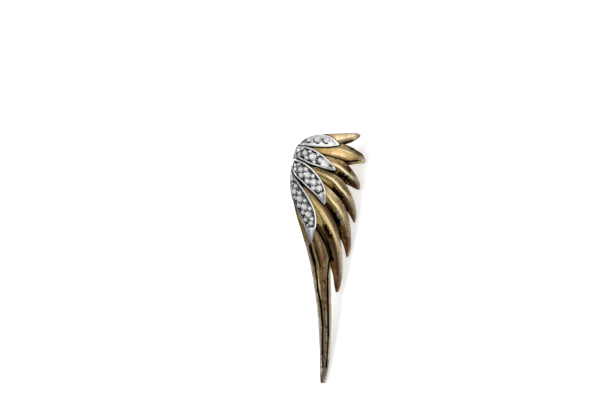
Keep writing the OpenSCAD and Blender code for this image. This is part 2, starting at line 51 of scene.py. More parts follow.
# Feathers, numbered from the top of the fan down to the leading side of the tail. Each row is a
# section, from root to tip. Columns: x and y of the trailing edge, x and y of the leading edge,
# the shares of the way across at which the crest and the shoulder below it lie, then the heights
# of the crest, the shoulder, the trailing and the leading edge.
FEATHERS = {
    1: [
        [-2.8, 48.7, -2.4, 47.2, .45, .8, 1.75, 1.6, 1.45, 1.1],
        [-.4, 49.6, 0, 46.9, .45, .8, 1.75, 1.58, 1.5, 1],
        [2, 49.82, 2.4, 47.1, .45, .8, 1.7, 1.5, 1.5, .95],
        [4.2, 49.9, 4.3, 47.55, .42, .8, 1.6, 1.38, 1.45, .85],
        [5.8, 49.95, 6, 47.98, .4, .8, 1.45, 1.22, 1.33, .75],
        [7.1, 49.95, 7.1, 48.55, .4, .8, 1.22, 1.02, 1.1, .65],
        [7.85, 49.87, 7.8, 49.05, .42, .8, .97, .84, .88, .55],
        [8.12, 49.64, 8.08, 49.32, .5, .75, .7, .62, .64, .5]],
    2: [
        [-2.8, 47.8, -2.4, 45.6, .3, .88, 1.8, 1.6, 1.1, 1.1],
        [-.2, 48, -.2, 45.2, .3, .9, 1.9, 1.65, 1.15, .9],
        [2.2, 47.95, 2, 44.85, .3, .9, 1.9, 1.65, 1.15, .8],
        [4.4, 47.85, 4, 44.35, .3, .86, 1.85, 1.6, 1.1, .75],
        [6.06, 47.28, 5.6, 43.6, .3, .82, 1.75, 1.5, 1, .7],
        [7.44, 46.5, 7, 43.75, .3, .78, 1.55, 1.35, .9, .65],
        [8.45, 45.78, 8.1, 43.9, .35, .75, 1.25, 1.1, .75, .55],
        [8.9, 45, 8.75, 44, .42, .75, .9, .8, .6, .5],
        [9.08, 44.55, 9, 44.2, .5, .75, .65, .6, .48, .45]],
    3: [
        [-1.4, 46.3, -2.6, 44, .3, .7, 1.8, 1.5, 1.35, 1.1],
        [.6, 45.6, -.4, 42.9, .3, .7, 2, 1.55, 1.5, .85],
        [2.6, 45.05, 1.6, 42.1, .33, .7, 2.05, 1.5, 1.55, .8],
        [4.4, 44.5, 3.2, 41.2, .4, .7, 2, 1.45, 1.5, .75],
        [5.8, 43.45, 4.6, 40.1, .42, .7, 1.85, 1.35, 1.35, .7],
        [6.8, 42.15, 5.7, 39.5, .38, .7, 1.6, 1.2, 1.15, .6],
        [7.62, 40.75, 6.6, 39.05, .4, .7, 1.3, 1, .95, .55],
        [8, 39.65, 7.3, 38.7, .45, .72, .95, .8, .75, .5],
        [8.04, 39, 7.78, 38.6, .5, .75, .65, .58, .55, .45]],
    4: [
        [-2.4, 44.1, -3.4, 42.1, .35, .7, 1.8, 1.5, 1.35, 1.1],
        [0, 43.1, -1.5, 40.6, .24, .7, 2, 1.6, 1.5, .9],
        [1.8, 42.3, .2, 39.6, .29, .7, 2.1, 1.6, 1.6, .8],
        [3.4, 41.45, 1.7, 38.8, .36, .7, 2.1, 1.55, 1.6, .8],
        [4.8, 40.2, 2.9, 37.5, .42, .7, 2, 1.45, 1.5, .75],
        [5.9, 38.5, 4, 36.35, .36, .7, 1.85, 1.35, 1.35, .7],
        [6.7, 36.6, 5, 34.9, .3, .7, 1.6, 1.2, 1.15, .6],
        [7.15, 34.8, 5.8, 33.7, .32, .7, 1.25, 1, .95, .55],
        [7.2, 33.2, 6.45, 32.6, .45, .72, .95, .8, .75, .5],
        [7, 32.2, 6.8, 31.95, .5, .75, .65, .58, .55, .45]],
    5: [
        [-1, 41.4, -2.4, 39.4, .35, .7, 1.8, 1.5, 1.35, 1.1],
        [.6, 40.1, -1, 37.8, .35, .7, 2, 1.6, 1.5, .9],
        [2, 38.85, .4, 36, .37, .7, 2.1, 1.6, 1.6, .8],
        [3.4, 37.4, 1.6, 34.4, .41, .7, 2.1, 1.55, 1.6, .8],
        [4.6, 36.05, 2.4, 32.8, .37, .7, 2.1, 1.5, 1.6, .75],
        [5.5, 33.9, 3.2, 31, .29, .7, 1.95, 1.4, 1.45, .7],
        [6, 31.7, 3.85, 29.3, .23, .68, 1.7, 1.25, 1.25, .65],
        [6.2, 29.4, 4.55, 27.8, .24, .68, 1.4, 1.05, 1.05, .55],
        [6.15, 27.2, 5, 26.3, .32, .7, 1, .85, .8, .5],
        [5.75, 25.45, 5.25, 25.05, .5, .75, .65, .58, .55, .45]],
    6: [
        [-3.8, 40.4, -4.8, 39, .4, .7, 1.7, 1.5, 1.3, 1.1],
        [-1.8, 38.8, -3.4, 36.6, .4, .7, 1.9, 1.6, 1.45, .9],
        [0, 36.8, -2, 34, .33, .7, 2, 1.6, 1.55, .8],
        [1.6, 34.9, -.8, 31.4, .33, .7, 2.1, 1.6, 1.6, .8],
        [2.9, 32.5, .2, 29.5, .31, .7, 2.1, 1.5, 1.6, .75],
        [3.8, 30, 1.1, 27.6, .27, .68, 2.05, 1.45, 1.55, .75],
        [4.3, 27.4, 1.65, 25.6, .23, .68, 1.9, 1.35, 1.4, .7],
        [4.5, 24.8, 2.1, 23.3, .22, .68, 1.65, 1.2, 1.2, .6],
        [4.5, 22.2, 2.6, 21.5, .25, .7, 1.35, 1.05, 1, .55],
        [4.15, 19.7, 2.85, 19.5, .35, .72, 1, .85, .75, .5],
        [3.65, 18.2, 3.15, 18.15, .5, .75, .65, .58, .55, .45]],
    7: [
        [-1.8, 33.6, -3.4, 32.2, .4, .7, 1.7, 1.5, 1.25, 1.1],
        [-.5, 31.3, -2.4, 29.4, .4, .7, 1.8, 1.6, 1.35, 1.2],
        [.7, 29.2, -1.6, 27, .4, .7, 1.9, 1.7, 1.4, 1.25],
        [1.6, 26.8, -1, 24.9, .4, .7, 1.9, 1.7, 1.4, 1.3],
        [2.05, 24.2, -.6, 22.6, .42, .7, 1.9, 1.7, 1.4, 1.35],
        [2.1, 21.4, -.45, 20.4, .45, .72, 1.9, 1.7, 1.4, 1.35],
        [2.2, 18.6, -.2, 18.1, .5, .75, 1.85, 1.7, 1.35, 1.35],
        [2.28, 15.4, .2, 15.3, .5, .75, 1.85, 1.7, 1.3, 1.35],
        [2.3, 12.2, .4, 12.2, .5, .75, 1.8, 1.65, 1.25, 1.3],
        [2.18, 9, .4, 9, .5, .75, 1.7, 1.55, 1.15, 1.2],
        [1.95, 5.8, .35, 5.8, .5, .75, 1.5, 1.35, 1, 1],
        [1.55, 2.6, .3, 2.6, .5, .75, 1.2, 1.05, .8, .8],
        [1.1, .6, .3, .6, .5, .75, .9, .78, .6, .55],
        [.9, 0, .4, 0, .5, .75, .6, .55, .45, .4]],
    8: [
        [-4.4, 39.2, -5.7, 38.6, .4, .7, 1.5, 1.4, 1.3, 1],
        [-3.4, 36.6, -5.3, 36, .4, .7, 1.6, 1.4, 1.3, .95],
        [-2.4, 34, -4.7, 33.4, .4, .7, 1.65, 1.4, 1.3, .9],
        [-1.6, 31.4, -3.88, 30.8, .4, .7, 1.65, 1.4, 1.3, .9],
        [-1.2, 28.7, -3.12, 28.2, .34, .7, 1.65, 1.3, 1.3, .95],
        [-.8, 25.9, -2.4, 25.6, .3, .7, 1.7, 1.2, 1.35, 1],
        [-.15, 23.2, -1.82, 22.9, .3, .7, 1.75, 1.15, 1.45, 1],
        [.1, 20.4, -1.35, 20.2, .3, .66, 1.78, 1.15, 1.5, 1],
        [.5, 17.5, -.93, 17.4, .32, .66, 1.8, 1.15, 1.5, 1],
        [.98, 14.4, -.55, 14.4, .3, .64, 1.8, 1.15, 1.5, 1],
        [1.12, 11.4, -.32, 11.4, .3, .62, 1.75, 1.15, 1.45, 1],
        [1.14, 8.2, -.14, 8.2, .3, .6, 1.65, 1.1, 1.35, .95],
        [1.04, 5, -.04, 5, .34, .6, 1.45, 1, 1.1, .85],
        [1, 2.4, 0, 2.4, .4, .7, 1.2, .9, .85, .7],
        [.9, .6, .05, .6, .5, .75, .85, .7, .6, .5],
        [.7, -.05, .2, 0, .5, .75, .6, .52, .4, .4]],
}
# Bevel round the back, rounding of the front's edges, and the most of the width that each takes
BACK_BEVEL = 0.14
BEVEL_MOST = 0.2
EDGE_ROUND = 0.1
EDGE_MOST = 0.25
# Softness of the crest and of the shoulder, as shares of the width
CREST_SOFT = 0.04
SHOULDER_SOFT = 0.06
# Swell below the crest and hollow above the leading edge, as a share of the width between them
FLUTE = {3: 0.04, 4: 0.04, 5: 0.04, 6: 0.04, 7: 0.02}
# Height of the casting's unevenness, and how fast each of its waves turns with x, y and a seed
WOBBLE = 0.012
WAVES = [(1.7, 0.6, 1), (0.9, -2.1, 2.3), (3.3, 2.7, 1.1)]
# Distance between rings, and the points on each slope of a ring
RING_STEP = 0.25
SLOPE_POINTS = 13

# Wing bone, a row for each disc. Columns: x, y, radius and height.
BONE = [
    [-2.4, 48, .8, 1.1],
    [-3.4, 46.6, 1.4, 1.3],
    [-3.6, 45, 1.8, 1.5],
    [-3.9, 43.3, 1.8, 1.5],
    [-4, 41.5, 1.8, 1.5],
    [-4.1, 39.8, 1.7, 1.5],
    [-4, 38, 1.6, 1.5],
    [-3.7, 36.2, 1.5, 1.5],
    [-3.2, 34.4, 1.4, 1.5],
    [-2.7, 32.6, 1.2, 1.4]]
BONE_DISCS = 4 * len(BONE)
BONE_SIDES = 40
# Radii of the rings on a disc's top, as shares of it
BONE_TOP = (1, 0.85, 0.7, 0.55, 0.4, 0.2)

# Sections of the coverts, from root to tip. Columns: x and y of the trailing edge, x and y of the
# leading edge, the heights of the rim along the trailing and the leading edge, and the rise of the
# middle above them.
COVERTS = [
    [[-4.1, 47.85, -4.15, 47.5, 1.3, 1.3, 0],
     [-3, 48.8, -3, 47.5, 1.4, 2, .15],
     [-1.6, 49.4, -1.6, 47.35, 1.45, 2.3, .25],
     [-.2, 49.7, -.2, 47.25, 1.5, 2.4, .28],
     [1.2, 49.55, 1.2, 47.2, 1.6, 2.4, .28],
     [2.4, 49.1, 2.4, 47.3, 1.8, 2.3, .25],
     [3.3, 48.35, 3.3, 47.45, 1.85, 2.1, .12],
     [3.84, 47.75, 3.8, 47.55, 1.75, 1.8, 0]],
    [[-4.42, 47.38, -5.2, 45.55, 1.4, 1.4, .1],
     [-3.4, 47.35, -4.2, 44.9, 1.9, 1.8, .25],
     [-2.2, 47.1, -3.2, 44.4, 2.3, 2.3, .3],
     [-1.1, 46.65, -2.1, 43.85, 2.4, 2.6, .3],
     [0, 45.95, -1, 43.5, 2.4, 2.6, .3],
     [1.1, 45.1, .1, 43.15, 2.35, 2.55, .28],
     [2.1, 44.2, 1.2, 42.8, 2.25, 2.4, .2],
     [2.8, 43.35, 2.3, 42.55, 2.1, 2.2, .1],
     [3.15, 42.7, 3.05, 42.5, 1.95, 1.95, 0]],
    [[-5.45, 45.1, -5.8, 43.3, 1.4, 1.3, .15],
     [-4.4, 44.6, -5.45, 42.3, 2, 1.5, .25],
     [-3, 43.95, -4.85, 41.35, 2.5, 2.1, .3],
     [-1.7, 42.95, -3.85, 40.4, 2.55, 2.5, .32],
     [-.6, 41.75, -2.95, 39.5, 2.5, 2.7, .32],
     [.3, 40.45, -2.05, 38.65, 2.45, 2.7, .32],
     [.92, 39.1, -1.15, 37.85, 2.4, 2.65, .3],
     [1.2, 37.8, -.4, 37, 2.35, 2.5, .25],
     [1.2, 36.6, .25, 36.25, 2.2, 2.3, .15],
     [1, 35.7, .75, 35.7, 2, 2, 0]],
    [[-5.75, 42.75, -5.87, 42.5, 1.2, 1.2, 0],
     [-5, 41.15, -5.98, 40.8, 1.75, 1.3, .15],
     [-3.95, 39.7, -5.95, 39.2, 2.2, 1.4, .3],
     [-3, 38.3, -5.76, 37.7, 2.4, 1.5, .4],
     [-2.2, 37.05, -5.4, 36.4, 2.5, 1.6, .42],
     [-1.55, 35.85, -4.88, 35.15, 2.5, 1.7, .42],
     [-1.05, 34.6, -4.3, 34.05, 2.5, 1.8, .4],
     [-.75, 33.2, -3.75, 32.9, 2.45, 1.85, .36],
     [-.75, 31.8, -3.25, 31.7, 2.35, 1.85, .32],
     [-1.05, 30.3, -2.85, 30.4, 2.2, 1.85, .25],
     [-1.4, 29, -2.4, 29.1, 2, 1.8, .15],
     [-1.72, 27.85, -1.9, 27.9, 1.75, 1.75, 0]]]
# Rows between which each covert's bed is sunk
BEDS = [(1.15, 4.75), (.25, 4.8), (.5, 6.45), (1.3, 8.45)]
# Depth of the beds, and half the rows over which their ends fall
BED_DEPTH = 0.22
BED_SLOPE = 0.06
# Height of the floor of the coverts' pockets, and the gap round and under the coverts
POCKET_FLOOR = 0.9
SEAT_GAP = 0.05
# Widths of the rims and of the wall down to the bed, and the most of the width that each takes
TRAIL_RIM = 0.26
LEAD_RIM = 0.24
RIM_MOST = 0.27
BED_WALL = 0.07
WALL_MOST = 0.07
# Rounding of the outer corner, as a length and as the most of the rim, and the rim's own bulge
# and fall towards the wall
RIM_ROUND = 0.1
ROUND_MOST = 0.3
RIM_BULGE = 0.025
RIM_FALL = 0.03
# Distance between rings, and the points over a corner, over a rim and across a bed
COVERT_STEP = 0.12
ARC_POINTS = 4
RIM_POINTS = 6
BED_POINTS = 14
# Prisms under the coverts, which join the feathers' roots, and the top of the pockets' cutters
FOOT_INSET = 0.12
FOOT_INSET_MOST = 0.3
FOOT_HEIGHT = 1.1
ABOVE_ALL = 6

# Stones of each covert. Columns: x, y and diameter.
STONES = [
    [[-2.14, 48.6, .85], [-.5, 48.65, 1.15], [1.25, 48.5, 1]],
    [[-4.22, 46.58, .86], [-4.15, 45.7, .7], [-3.45, 46.95, .62], [-3, 46, 1.02],
     [-2.66, 45.05, .8], [-1.43, 45.24, 1.3], [.06, 44.52, .98], [-1.18, 44.22, .62],
     [-1.98, 46.25, .6], [-.4, 45.62, .62]],
    [[-4.95, 43.58, .6], [-4.9, 42.75, .8], [-3.85, 42.68, 1.04], [-2.85, 42.72, .78],
     [-3.74, 41.57, .94], [-2.6, 41.62, 1.22], [-1.5, 41.38, .8], [-2.53, 40.38, .92],
     [-1.36, 40.17, 1.22], [-.24, 40.12, .78], [-1.34, 38.98, .86], [-.23, 38.94, 1.16],
     [-4.2, 43.7, .62]],
    [[-5.45, 39.85, .4], [-4.86, 39.4, .78], [-5.08, 38.3, 1.06], [-4.1, 38.02, .76],
     [-5, 37.14, .7], [-4.06, 36.84, 1.18], [-3.06, 36.5, .72], [-4.2, 35.6, .9],
     [-3.13, 35.27, 1.22], [-2.1, 34.9, .76], [-3.38, 34.1, .8], [-2.36, 33.72, 1.18],
     [-2.85, 32.72, .8], [-1.66, 32.85, .74], [-1.82, 31.97, .78], [-2.45, 31.55, .5]]]
# A stone's facets. The shares are of its diameter, apart from the heights of the kites, as a share
# of the crown, and of the knee, as a share of the pavilion.
TABLE_SHARE = 0.56
KITE_RADIUS = 0.405
KITE_HEIGHT = 0.6
CROWN_SHARE = 0.16
GIRDLE_HALF = 0.02
KNEE_RADIUS = 0.3
KNEE_HEIGHT = 0.55
PAVILION_SHARE = 0.3
STONE_LIFT = 0.06
# Most that a stone is turned on its bed, in radians
STONE_TURN = 0.8
# How far the stones swell past the drawn diameter, where their setting's metal is fused to them
SETTING_SHARE = 1.16
# Plate that carries a covert's stones: its top and underside from the bed, how far it is set in
# from the rims, the most of the width that it leaves free, and its ends, as a share of a row
PLATE_RISE = 0.02
PLATE_DEPTH = 0.1
PLATE_INSET = 0.03
PLATE_MOST = 0.3
PLATE_END = 0.03
PLATE_ROWS = 110
PLATE_POINTS = 34
# Beads of metal between the stones: most radius, least room, distance apart, how far one runs
# into a stone, its rise above the bed, the rows left free, and the places that are tried
BEAD_MOST = 0.1
BEAD_LEAST = 0.08
BEAD_APART = 0.38
BEAD_SPILL = 0.04
BEAD_RISE = 0.03
BEAD_END = 0.08
BEAD_ROWS = 160
BEAD_POINTS = 60
BEAD_STACKS = 5
BEAD_SIDES = 10
RANDOM_SEED = 20

POST_X = -0.4
POST_Y = 44.5
POST_D = 0.9
POST_LENGTH = 9
POST_TIP = 0.3
POST_SIDES = 64
PAD_D = 3.2
PAD_T = 0.4
BACK_GAP = 0.02
# Profile of the pad and the post. Pairs: distance in from the pad's side, and up from its back or
# down from its front; out from the post's side, and up from the pad; in from the post's side, and
# back from its end, then past its end.
PAD_BACK = [(0.12, 0), (0, 0.1)]
PAD_FRONT = [(0, 0.14), (0.04, 0.05), (0.14, 0)]
POST_FOOT = [(0.3, 0), (0.12, 0.05), (0.03, 0.14), (0, 0.3)]
POST_GROOVE = [(0, 2.1), (0.03, 2.02), (0.07, 1.9), (0.07, 1.7), (0.03, 1.58), (0, 1.5)]
POST_END = [(0, 0), (0.03, 0.1), (0.1, 0.2), (0.2, 0.28)]
POST_TIP_RADIUS = 0.1

# Angle between faces above which an edge stays sharp, in degrees
SHARP_ANGLE = 32

post_mount = frame["record"]["mounts"][0]
front = -Vector(post_mount["axis"]).normalized()
up = Vector((0, front.z, -front.y)).normalized()
right = up.cross(front)
post_mid = POST_X * right + POST_Y * up - (BACK_GAP + PAD_T + POST_LENGTH / 2) * front
drawn_origin = Vector(post_mount["pos_m"]) - MM * post_mid
DRAWN_AXES = MM * np.array([right, up, front])


def in_world(points):
    """Drawn points, in millimetres, as points of the world in metres."""
    return np.asarray(points, float) @ DRAWN_AXES + np.array(drawn_origin)


def curve(table, u):
    """Smooth curve through a table's rows, where u counts rows."""
    table = np.asarray(table, float)
    u = np.atleast_1d(np.asarray(u, float))
    last = len(table) - 1
    i = np.clip(np.floor(u).astype(int), 0, last - 1)
    t = (u - i)[:, None]
    a, b, c, d = table[np.maximum(i - 1, 0)], table[i], table[i + 1], table[np.minimum(i + 2, last)]
    return (2 * b + (c - a) * t + (2 * a - 5 * b + 4 * c - d) * t**2
            + (3 * b - a - 3 * c + d) * t**3) / 2


def sections(table, u):
    """A table's rows where u counts them, and the distance between the two edges there."""
    rows = curve(table, u)
    return rows, np.linalg.norm(rows[:, 2:4] - rows[:, 0:2], axis=1)[:, None]


def samples(table, spacing):
    """Row numbers for sections about spacing millimetres apart."""
    middles = (np.asarray(table)[:, 0:2] + np.asarray(table)[:, 2:4]) / 2
    length = np.linalg.norm(np.diff(middles, axis=0), axis=1).sum()
    return np.linspace(0, len(table) - 1, int(length / spacing) + 2)


def soft(x, k):
    """Zero for negative x and x for positive x, with a rounded corner of size k."""
    return k * np.logaddexp(0, x / k)


def step(x, low, high):
    """Smooth step from 0 at low to 1 at high."""
    t = np.clip((x - low) / (high - low), 0, 1)
    return t * t * (3 - 2 * t)


def bell(x, width):
    """1 at zero, and less with distance from it."""
    return np.exp(-(x / width) ** 2)


def across(rows, x):
    """Drawn place at each distance x in from the trailing edge of each section."""
    trail, lead = rows[:, None, 0:2], rows[:, None, 2:4]
    way = (lead - trail) / np.linalg.norm(lead - trail, axis=2, keepdims=True)
    return trail + way * x[:, :, None]


def beside(parts):
    """Parts of rings, side by side."""
    return np.concatenate(parts, 1)


def raised(flat, z):
    """Drawn points over drawn places, at the heights z."""
    return np.concatenate([flat, z[..., None]], axis=2)


def new_object(data, material=None):
    """Object in the scene, named as its data is."""
    obj = bpy.data.objects.new(data.name, data)
    bpy.context.scene.collection.objects.link(obj)
    if material:
        data.materials.append(material)
    return obj


def skin(name, rings, paint, material, tint=None):
    """Closed skin over rings of drawn points, capped at each end, with its map in millimetres
    along and across. The paint and the tint are colours for each point, with no value above 1."""
    count, sides = rings.shape[:2]
    middles = rings.mean(axis=1)
    spine = np.concatenate([[0], np.cumsum(np.linalg.norm(np.diff(middles, axis=0), axis=1))])
    closed = beside([rings, rings[:, :1]])
    girth = np.cumsum(np.linalg.norm(np.diff(closed, axis=1), axis=2), axis=1)
    girth = beside([np.zeros((count, 1)), girth])
    uv = np.stack([np.broadcast_to(spine[:, None], girth.shape), girth], axis=2)
    j, k = np.meshgrid(np.arange(count - 1), np.arange(sides), indexing="ij")
    corner_j = np.stack([j, j, j + 1, j + 1], -1).reshape(-1, 4)
    corner_k = np.stack([k, k + 1, k + 1, k], -1).reshape(-1, 4)
    caps_j = [np.zeros(sides, int), np.full(sides, count - 1)]
    caps_k = [np.arange(sides)[::-1], np.arange(sides)]
    corners = corner_j * sides + corner_k % sides
    triangles = np.concatenate([corners[:, [0, 1, 2]], corners[:, [0, 2, 3]]])
    points = rings.reshape(-1, 3)
    first, second, third = (points[triangles[:, i]] - middles[0] for i in range(3))
    if np.einsum("ij,ij->", first, np.cross(second, third)) < 0:
        corner_j, corner_k = corner_j[:, ::-1], corner_k[:, ::-1]
        caps_k = [cap[::-1] for cap in caps_k]
    faces = (corner_j * sides + corner_k % sides).tolist()
    faces += [(cap_j * sides + cap_k % sides).tolist() for cap_j, cap_k in zip(caps_j, caps_k)]
    loop_j = np.concatenate([corner_j.ravel(), *caps_j])
    loop_k = np.concatenate([corner_k.ravel(), *caps_k])
    mesh = bpy.data.meshes.new(name)
    mesh.from_pydata(in_world(points).tolist(), [], faces)
    mesh.uv_layers.new(name="UVMap").uv.foreach_set("vector", uv[loop_j, loop_k].ravel())
    for layer, values in (("paint", paint), ("tint", paint if tint is None else tint)):
        colours = mesh.attributes.new(layer, "FLOAT_COLOR", "CORNER")
        values = values[loop_j, loop_k % sides].astype(np.float32)
        colours.data.foreach_set("color", values.ravel())
    return new_object(mesh, material)


def plain_paint(rings, colour):
    return np.broadcast_to(np.array(colour, float), rings.shape[:2] + (4,))


def combine(target, operation, others):
    """Target with the others added to it or cut from it. The others are used up."""
    group = bpy.data.collections.new("operands")
    for other in others:
        group.objects.link(other)
    modifier = target.modifiers.new("combine", "BOOLEAN")
    modifier.operation = operation
    modifier.solver = "MANIFOLD"
    modifier.operand_type = "COLLECTION"
    modifier.collection = group
    modifier.material_mode = "TRANSFER"
    graph = bpy.context.evaluated_depsgraph_get()
    mesh = bpy.data.meshes.new_from_object(target.evaluated_get(graph))
    target.modifiers.clear()
    old = target.data
    target.data = mesh
    bpy.data.meshes.remove(old)
    mesh.name = target.name
    for other in others:
        used = other.data
        bpy.data.objects.remove(other)
        bpy.data.meshes.remove(used)
    bpy.data.collections.remove(group)


def smooth(obj):
    obj.data.shade_smooth()
    obj.data.set_sharp_from_angle(angle=math.radians(SHARP_ANGLE))


# Materials

# Sizes of the textures: cells in a metre of the object, or in a millimetre of its map
GRAIN_SIZE = (2600, 2600, 2600)
CLOUD_SIZE = (900, 900, 900)
STREAK_SIZE = (0.8, 9, 1)
BRUSHED_SIZE = (3, 14, 1)
GLINT_SIZE = (2500, 2500, 2500)
TURNED_SIZE = (8, 0.8, 1)
FIBRE_SIZE = (400, 400, 400)
GRAIN_DEPTH = 0.00002
BRUSHED_DEPTH = 0.00001

# Pale gold of the painted highlights, dark brown of oxide with painted dark reflections and shade,
# and black of the painted shade in grooves
HIGHLIGHT_GOLD = (0.87, 0.73, 0.45, 1)
COPPER = (0.17, 0.06, 0.035, 1)
OXIDE_AND_SHADE = (0.016, 0.009, 0.005, 1)
GROOVE_BLACK = (0.003, 0.002, 0.001, 1)
METAL_LIGHT = (0.62, 0.62, 0.64, 1)
METAL_DULL = (0.50, 0.50, 0.53, 1)
METAL_BRIGHT = (0.96, 0.95, 0.93, 1)
METAL_BLACK = (0.01, 0.01, 0.01, 1)
METAL_EDGE = (1.0, 1.0, 1.0, 1)
BLACK_EDGE = (0.1, 0.1, 0.1, 1)
STONE_DARK = (0.05, 0.05, 0.055, 1)
STONE_CLEAR = (0.92, 0.92, 0.91, 1)
POST_LIGHT = (0.82, 0.82, 0.82, 1)
POST_DULL = (0.7, 0.7, 0.71, 1)
PAPER_DULL = (0.93, 0.93, 0.93, 1)
PAPER_LIGHT = (0.95, 0.95, 0.95, 1)
WHITE = (1, 1, 1, 1)


class Graph:
    """Nodes of a material or of the room. Most methods add one and give its output."""

    def __init__(self, node_tree):
        self.nodes = node_tree.nodes
        self.links = node_tree.links

    def feed(self, node, inputs):
        """Set inputs, given by name or number, to values or link them to other nodes' outputs."""
        for name, value in inputs.items():
            if isinstance(value, bpy.types.NodeSocket):
                self.links.new(value, node.inputs[name])
            else:
                node.inputs[name].default_value = value

    def node(self, kind, inputs):
        node = self.nodes.new(kind)
        self.feed(node, inputs)
        return node

    def place(self, kind, scale):
        """Texture coordinates times scale: of the object, in metres, or of its map, in
        millimetres along and across."""
        vector = self.nodes.new("ShaderNodeTexCoord").outputs[kind]
        return self.node("ShaderNodeMapping", {"Vector": vector, "Scale": scale}).outputs["Vector"]

    def noise(self, vector, detail, roughness, scale=1):
        inputs = {"Vector": vector, "Scale": scale, "Detail": detail, "Roughness": roughness}
        return self.node("ShaderNodeTexNoise", inputs).outputs["Fac"]

    def spread(self, value, low, high, to_low=0, to_high=1):
        """Value taken smoothly from the range low to high to another range, and held past it."""
        node = self.nodes.new("ShaderNodeMapRange")
        node.interpolation_type = "SMOOTHSTEP"
        self.feed(node, {"Value": value, "From Min": low, "From Max": high,
                         "To Min": to_low, "To Max": to_high})
        return node.outputs["Result"]

    def maths(self, operation, *values):
        node = self.nodes.new("ShaderNodeMath")
        node.operation = operation
        self.feed(node, dict(enumerate(values)))
        return node.outputs[0]

    def mix(self, factor, a, b):
        """Colour between a and b."""
        node = self.nodes.new("ShaderNodeMix")
        node.data_type = "RGBA"
        self.feed(node, {0: factor, 6: a, 7: b})
        return node.outputs[2]

    def bump(self, height, distance, strength, normal=None):
        """Normal with bumps of this height, over another normal if one is given."""
        inputs = {"Height": height, "Distance": distance, "Strength": strength}
        if normal:
            inputs["Normal"] = normal
        return self.node("ShaderNodeBump", inputs).outputs["Normal"]

    def layer(self, name):
        """Outputs of a colour layer of the mesh."""
        node = self.nodes.new("ShaderNodeAttribute")
        node.attribute_name = name
        return node.outputs

    def parts(self, colour):
        """A colour's red, green and blue."""
        return self.node("ShaderNodeSeparateColor", {"Color": colour}).outputs


def new_material(name):
    material = bpy.data.materials.new(name)
    material.use_nodes = True
    graph = Graph(material.node_tree)
    return material, graph, graph.nodes["Principled BSDF"]


def gilt():
    """Polished gold plate with flanks darkened by oxide and painted dark reflections. The tint is
    the plate's own colour, and its alpha the raggedness of the finish over it. The paint's red is
    oxide with painted dark reflections and shadows, its green copper, its blue a painted highlight
    and its alpha even painted shade in the seams and grooves."""
    material, graph, shader = new_material("gilt_feathers")
    tint = graph.layer("tint")
    paint = graph.layer("paint")
    amount = graph.parts(paint["Color"])
    grain = graph.noise(graph.place("Object", GRAIN_SIZE), 2, 0.5)
    clouds = graph.noise(graph.place("Object", CLOUD_SIZE), 4, 0.6)
    streaks = graph.noise(graph.place("UV", STREAK_SIZE), 3, 0.6)
    ragged = graph.maths("ADD", graph.spread(grain, 0.35, 0.65, -0.28, 0.28),
                         graph.spread(clouds, 0.35, 0.65, -0.14, 0.14))
    ragged = graph.maths("MULTIPLY", ragged, tint["Alpha"])
    mottle = graph.maths("MULTIPLY", graph.spread(clouds, 0.35, 0.7, 1.08, 0.86),
                         graph.spread(grain, 0.36, 0.64, 1.1, 0.86))
    plate = graph.node("ShaderNodeHueSaturation", {"Color": tint["Color"], "Value": mottle})
    copper = graph.spread(graph.maths("ADD", amount["Green"], ragged), 0.2, 0.95)
    colour = graph.mix(copper, plate.outputs["Color"], COPPER)
    # Painted highlight of pale gold, from the paint's blue
    colour = graph.mix(graph.spread(amount["Blue"], 0.05, 0.95), colour, HIGHLIGHT_GOLD)
    # Oxide with painted dark reflections and shadows, from the paint's red
    dark = graph.spread(graph.maths("ADD", amount["Red"], ragged), 0.28, 0.66)
    # Black painted shade in the seams and grooves, from the paint's alpha
    groove = graph.spread(paint["Alpha"], 0.2, 0.62)
    colour = graph.mix(groove, graph.mix(dark, colour, OXIDE_AND_SHADE), GROOVE_BLACK)
    dark = graph.maths("MAXIMUM", dark, groove)
    rough = graph.maths("ADD", graph.spread(streaks, 0.3, 0.7, 0.1, 0.19),
                        graph.spread(dark, 0, 1, 0, 0.12))
    relief = graph.bump(streaks, GRAIN_DEPTH, 0.35, graph.bump(grain, GRAIN_DEPTH, 0.5))
    graph.feed(shader, {"Base Color": colour, "Metallic": 1, "Roughness": rough,
                        "Normal": relief})
    return material


def white_metal():
    """Polished white metal. The paint's red is painted shade and its blue painted sheen and
    highlight.
    """
    material, graph, shader = new_material("white_metal")
    clouds = graph.noise(graph.place("Object", CLOUD_SIZE), 4, 0.6)
    grain = graph.noise(graph.place("UV", BRUSHED_SIZE), 4, 0.6)
    amount = graph.parts(graph.layer("paint")["Color"])
    colour = graph.mix(graph.spread(clouds, 0.35, 0.7), METAL_LIGHT, METAL_DULL)
    colour = graph.mix(amount["Blue"], colour, METAL_BRIGHT)
    graph.feed(shader, {
        "Base Color": graph.mix(amount["Red"], colour, METAL_BLACK), "Metallic": 1,
        "Specular Tint": graph.mix(amount["Red"], METAL_EDGE, BLACK_EDGE),
        "Roughness": graph.spread(grain, 0.3, 0.7, 0.16, 0.3),
        "Normal": graph.bump(grain, BRUSHED_DEPTH, 0.4)})
    return material


def clear_stone():
    """Bright facets. The paint's red is a facet's tone, a painted reflection."""
    material, graph, shader = new_material("clear_stone")
    tone = graph.parts(graph.layer("paint")["Color"])["Red"]
    clouds = graph.noise(graph.place("Object", GLINT_SIZE), 2, 0.5)
    tone = graph.maths("MULTIPLY", tone, graph.spread(clouds, 0.3, 0.7, 0.85, 1))
    graph.feed(shader, {
        "Base Color": graph.mix(tone, STONE_DARK, STONE_CLEAR), "Metallic": 0.1,
        "Roughness": 0.12, "IOR": 1.7, "Coat Weight": 0.5, "Coat Roughness": 0.03})
    return material


